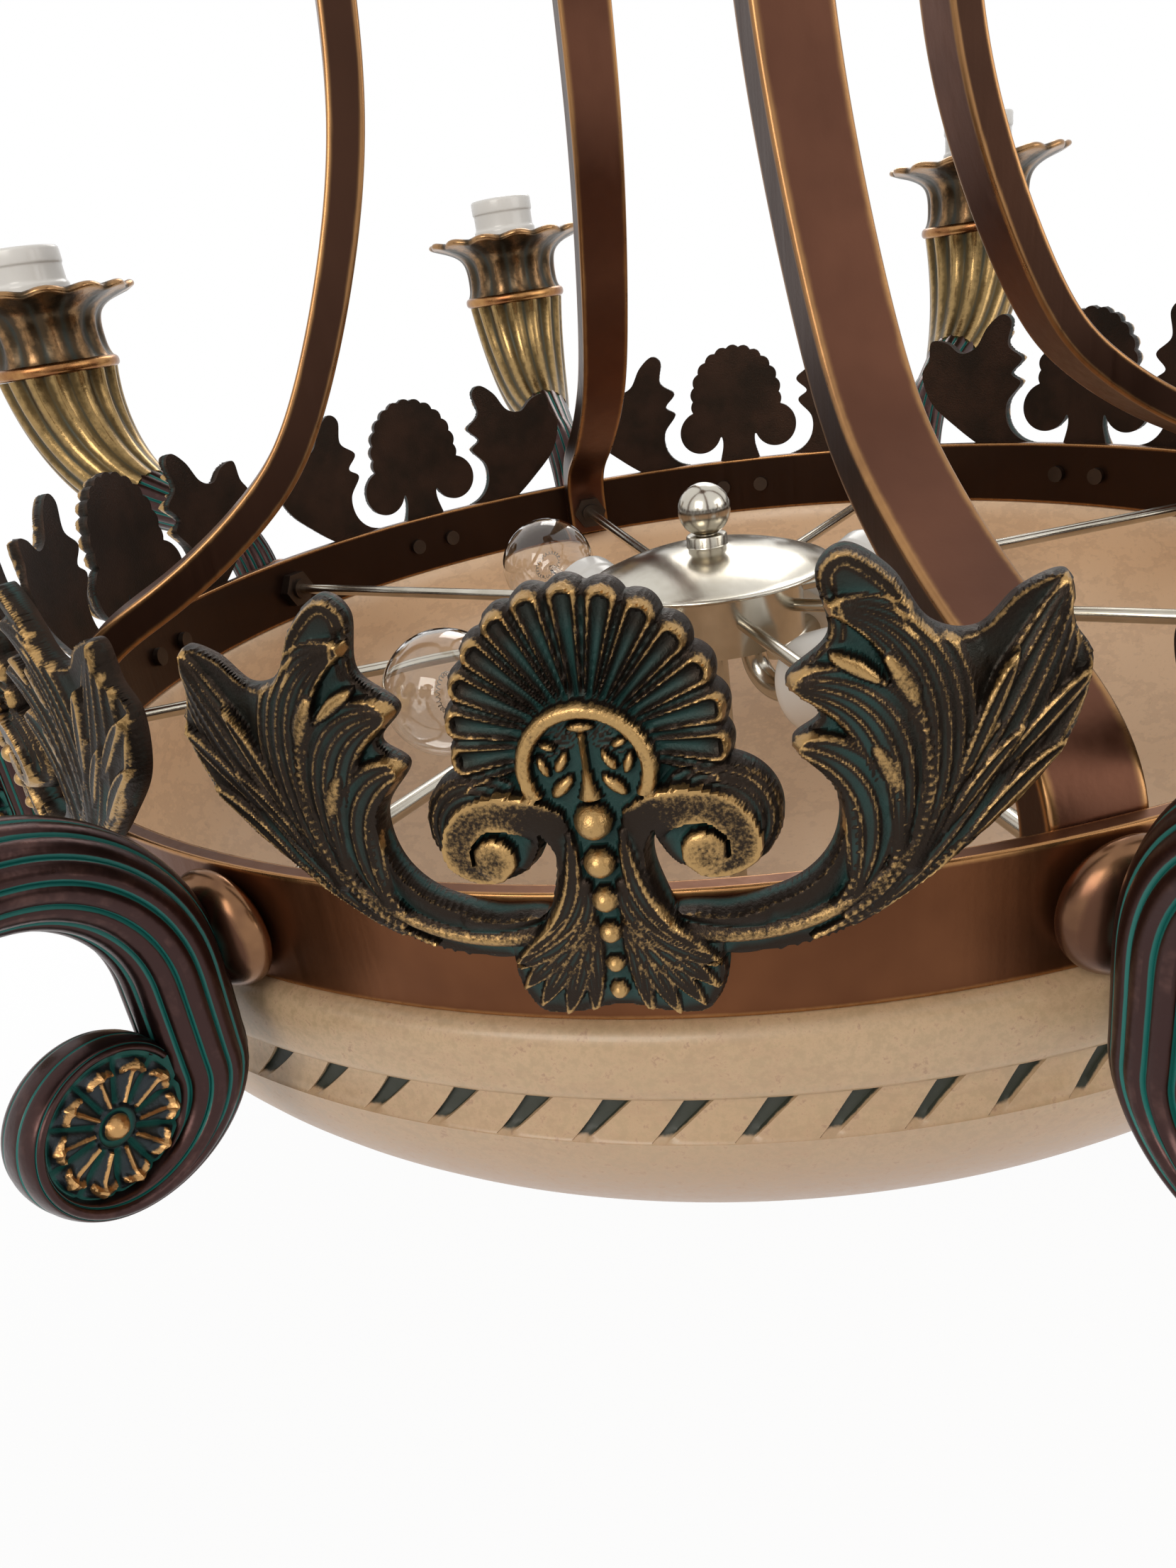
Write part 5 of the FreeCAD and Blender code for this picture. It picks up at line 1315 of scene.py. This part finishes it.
globe = np.vstack([globe_profile(0.0), globe_profile(GLASS_WALL)[::-1]])
globe_form = turned_along(globe, 60, GLOBE_AT, LAMP_WAY, closed=True)
LAMP_PARTS = (("lamp_globes", globe_form, GLASS, ["bulbs"], True),
              ("lamp_caps", turned_along(softened(CAP, 1.5), 48, GLOBE_AT, LAMP_WAY), THREAD, (), True),
              ("lamp_posts", turned_along(softened(POST, 2.0), 32, GLOBE_AT, LAMP_WAY), GLASS, (), True),
              ("lamp_filaments", filament(), STEEL, (), False))
for name, form, finish, nodes, outward in LAMP_PARTS:
    piece(name, *joined_copies(LAMPS, *form, SECTOR / 2), finish, nodes, outward=outward)
print("lamps", LAMPS, "of", len(LAMP_PARTS), "parts")

# %% [markdown]
# The canopy against the ceiling is a spun dish on its collar. Seen from below it is one smooth curve, with
# gold on its lip where it is handled.

# %% Canopy
DISH = [(13.0, -40.0), (30.0, -39.0), (62.0, -31.0), (86.0, -14.0), (95.0, -3.3)]
DISH_LIP = [(95.0, -1.2), (94.8, -0.5), (94.4, -0.3), (94.0, -0.5), (93.8, -1.2)]
DISH_BORE, DISH_WALL = 6.55, np.array([-0.4, 1.2])
dish_outer = clamped_curve(DISH, 40)
dish = np.vstack([[(DISH_BORE, -40.0)], dish_outer, DISH_LIP, (dish_outer + DISH_WALL)[::-1],
                  [(DISH_BORE, -38.8)]])
dish_wear = np.exp(-np.abs(dish[:, 1] + 1.5) / 2.0) * (dish[:, 0] > 90)
piece("canopy_dish", *turned(dish, 128), RING_BRASS, ["canopy"], body="canopy", wear=dish_wear)
print("canopy", 2 * dish[:, 0].max(), "mm across")

# %% [markdown]
# The pieces whose solids are already right keep them, and only take a finish: rods, tubes, nuts and screws
# are plain turned or drawn metal.

# %% Finishes for the solids that stay
# The screws, nipples and nuts on the ring's inner face take the steel darkened as painted shade.
KEPT = {NICKEL: ("spokes", "hub", "bowl_rod", "lamp_tubes"), COPPERY: ("bowl_washer", "canopy_collar"),
        STEEL: ("mounting_bar", "stem_nut"), SHADE_PAINTED_STEEL: ("ornament_screws", "arm_nipples", "arm_nuts"),
        STRAP_BRASS: ("stem", "crown", "crown_screws")}
for finish, names in KEPT.items():
    for name in names:
        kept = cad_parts[name]
        kept.data.materials.clear()
        kept.data.materials.append(finish)
print("kept solids", sum(len(names) for names in KEPT.values()))

# %% [markdown]
# The stage: a white floor well below the lamp and a white surround, with large soft lamps above and beside
# the camera. The floor mixes plain white into what the camera sees, so that it stays pale but keeps a soft
# shadow.

# %% Floor and surround
FLOOR_LEVEL, FLOOR_HALF, FLOOR_LINES = -1250.0, 12000.0, 9


def shown_directly(start):
    """1 for what the camera sees straight, in a gloss or through glass, and 0 for other rays."""
    kinds = ("Camera", "Glossy", "Transmission")
    rays = [start.node("ShaderNodeLightPath", out=f"Is {kind} Ray") for kind in kinds]
    return (rays[0] + rays[1] + rays[2]).clip()


def white_floor():
    """Pale matt floor, lifted towards white for the camera and reflections, most away from the middle."""
    material, start, shader = finish_named("pale floor", Roughness=0.9, Base_Color=(0.9, 0.9, 0.9, 1))
    glow = start.node("ShaderNodeEmission", {}, {0: (1, 1, 1, 1), 1: 1.0})
    place = start.node("ShaderNodeTexCoord", out="Object")
    east, north = [start.node("ShaderNodeSeparateXYZ", {}, {0: place}, out=axis) for axis in (0, 1)]
    away = (east * east + north * north) ** 0.5
    lift = shown_directly(start) * (0.9 + 0.1 * away.between(0.4, 1.6))
    mixed = start.node("ShaderNodeMixShader", {}, {0: lift, 1: Wire(start.tree, shader.outputs[0]), 2: glow})
    start.tree.links.new(mixed.socket, start.tree.nodes["Material Output"].inputs[0])
    return material


floor_line = np.linspace(-FLOOR_HALF, FLOOR_HALF, FLOOR_LINES)
floor_x, floor_y = np.meshgrid(floor_line, floor_line, indexing="ij")
floor_points = np.stack([floor_x, floor_y, np.full(floor_x.shape, FLOOR_LEVEL)], axis=-1).reshape(-1, 3) * MM
floor_mesh = bpy.data.meshes.new("floor")
floor_mesh.from_pydata(floor_points.tolist(), [], cells(FLOOR_LINES, FLOOR_LINES).tolist())
floor = bpy.data.objects.new("floor", floor_mesh)
bpy.context.scene.collection.objects.link(floor)
floor_mesh.materials.append(white_floor())

world = bpy.data.worlds.new("surround")
bpy.context.scene.world = world
world.use_nodes = True
back = world.node_tree.nodes["Background"]
back.inputs["Color"].default_value = (1, 1, 1, 1)
strength = 0.45 + shown_directly(Wire(world.node_tree)) * 0.55
world.node_tree.links.new(strength.socket, back.inputs["Strength"])
print("floor at", FLOOR_LEVEL, "mm")

# %% [markdown]
# Three large lamps give the metal soft highlights: a warm key from the left of the camera, a weaker fill
# from the right, and one behind that draws the far edges.

# %% Soft lamps
MIDDLE = np.array([0.0, 0.0, -0.5])


def soft_lamp(name, place, size, power, colour):
    """Square lamp at a place in metres, facing the middle of the chandelier."""
    light = bpy.data.lights.new(name, "AREA")
    light.shape, light.size, light.energy, light.color = "SQUARE", size, power, colour
    lamp = bpy.data.objects.new(name, light)
    lamp.location = place
    lamp.rotation_euler = Vector((MIDDLE - np.asarray(place)).tolist()).to_track_quat("-Z", "Y").to_euler()
    bpy.context.scene.collection.objects.link(lamp)
    print(name, power, "W")


soft_lamp("key lamp", (-1.4, -1.6, 0.7), size=1.2, power=26.0, colour=(1.0, 0.95, 0.88))
soft_lamp("fill lamp", (1.8, -1.2, 0.1), size=1.4, power=12.0, colour=(1.0, 0.97, 0.93))
soft_lamp("back lamp", (0.8, 1.9, 0.9), size=1.2, power=16.0, colour=(1.0, 0.97, 0.93))

# %% [markdown]
# The camera stands close to the ring and looks down across it, rolled a little, as the photograph was
# taken. Its place and angles came from the ring's ellipses, counted in ring radii and then turned into this
# frame.

# %% Camera
YAW, PITCH, ROLL = np.radians([-8.14, -24.48, -8.78])
STAND = np.array([0.0, -1.722, 0.430]) * RING_RADIUS
FRAME_TURN = -16.9
FOCAL_PIXELS, IMAGE_WIDTH, SENSOR_WIDTH = 1534.0, 1659.0, 36.0

forward = np.array([math.sin(YAW) * math.cos(PITCH), math.cos(YAW) * math.cos(PITCH), math.sin(PITCH)])
level = np.array([math.cos(YAW), -math.sin(YAW), 0.0])
lifted = np.cross(level, forward)
right = math.cos(ROLL) * level + math.sin(ROLL) * lifted
upward = -math.sin(ROLL) * level + math.cos(ROLL) * lifted
axes = np.stack([about_axis(v, FRAME_TURN) for v in (right, upward, -forward)], axis=1)
stand = (about_axis(STAND, FRAME_TURN) + np.array([0.0, 0.0, RING_TOP])) * MM
view = np.eye(4)
view[:3, :3], view[:3, 3] = axes, stand
lens = bpy.data.cameras.new("photo view")
lens.sensor_fit, lens.sensor_width = "HORIZONTAL", SENSOR_WIDTH
lens.lens = SENSOR_WIDTH * FOCAL_PIXELS / IMAGE_WIDTH
lens.clip_start = 0.01
viewer = bpy.data.objects.new("photo view", lens)
viewer.matrix_world = Matrix(view.tolist())
bpy.context.scene.collection.objects.link(viewer)
bpy.context.scene.camera = viewer
bpy.context.scene.view_settings.view_transform = "Standard"
print("camera at", stand)
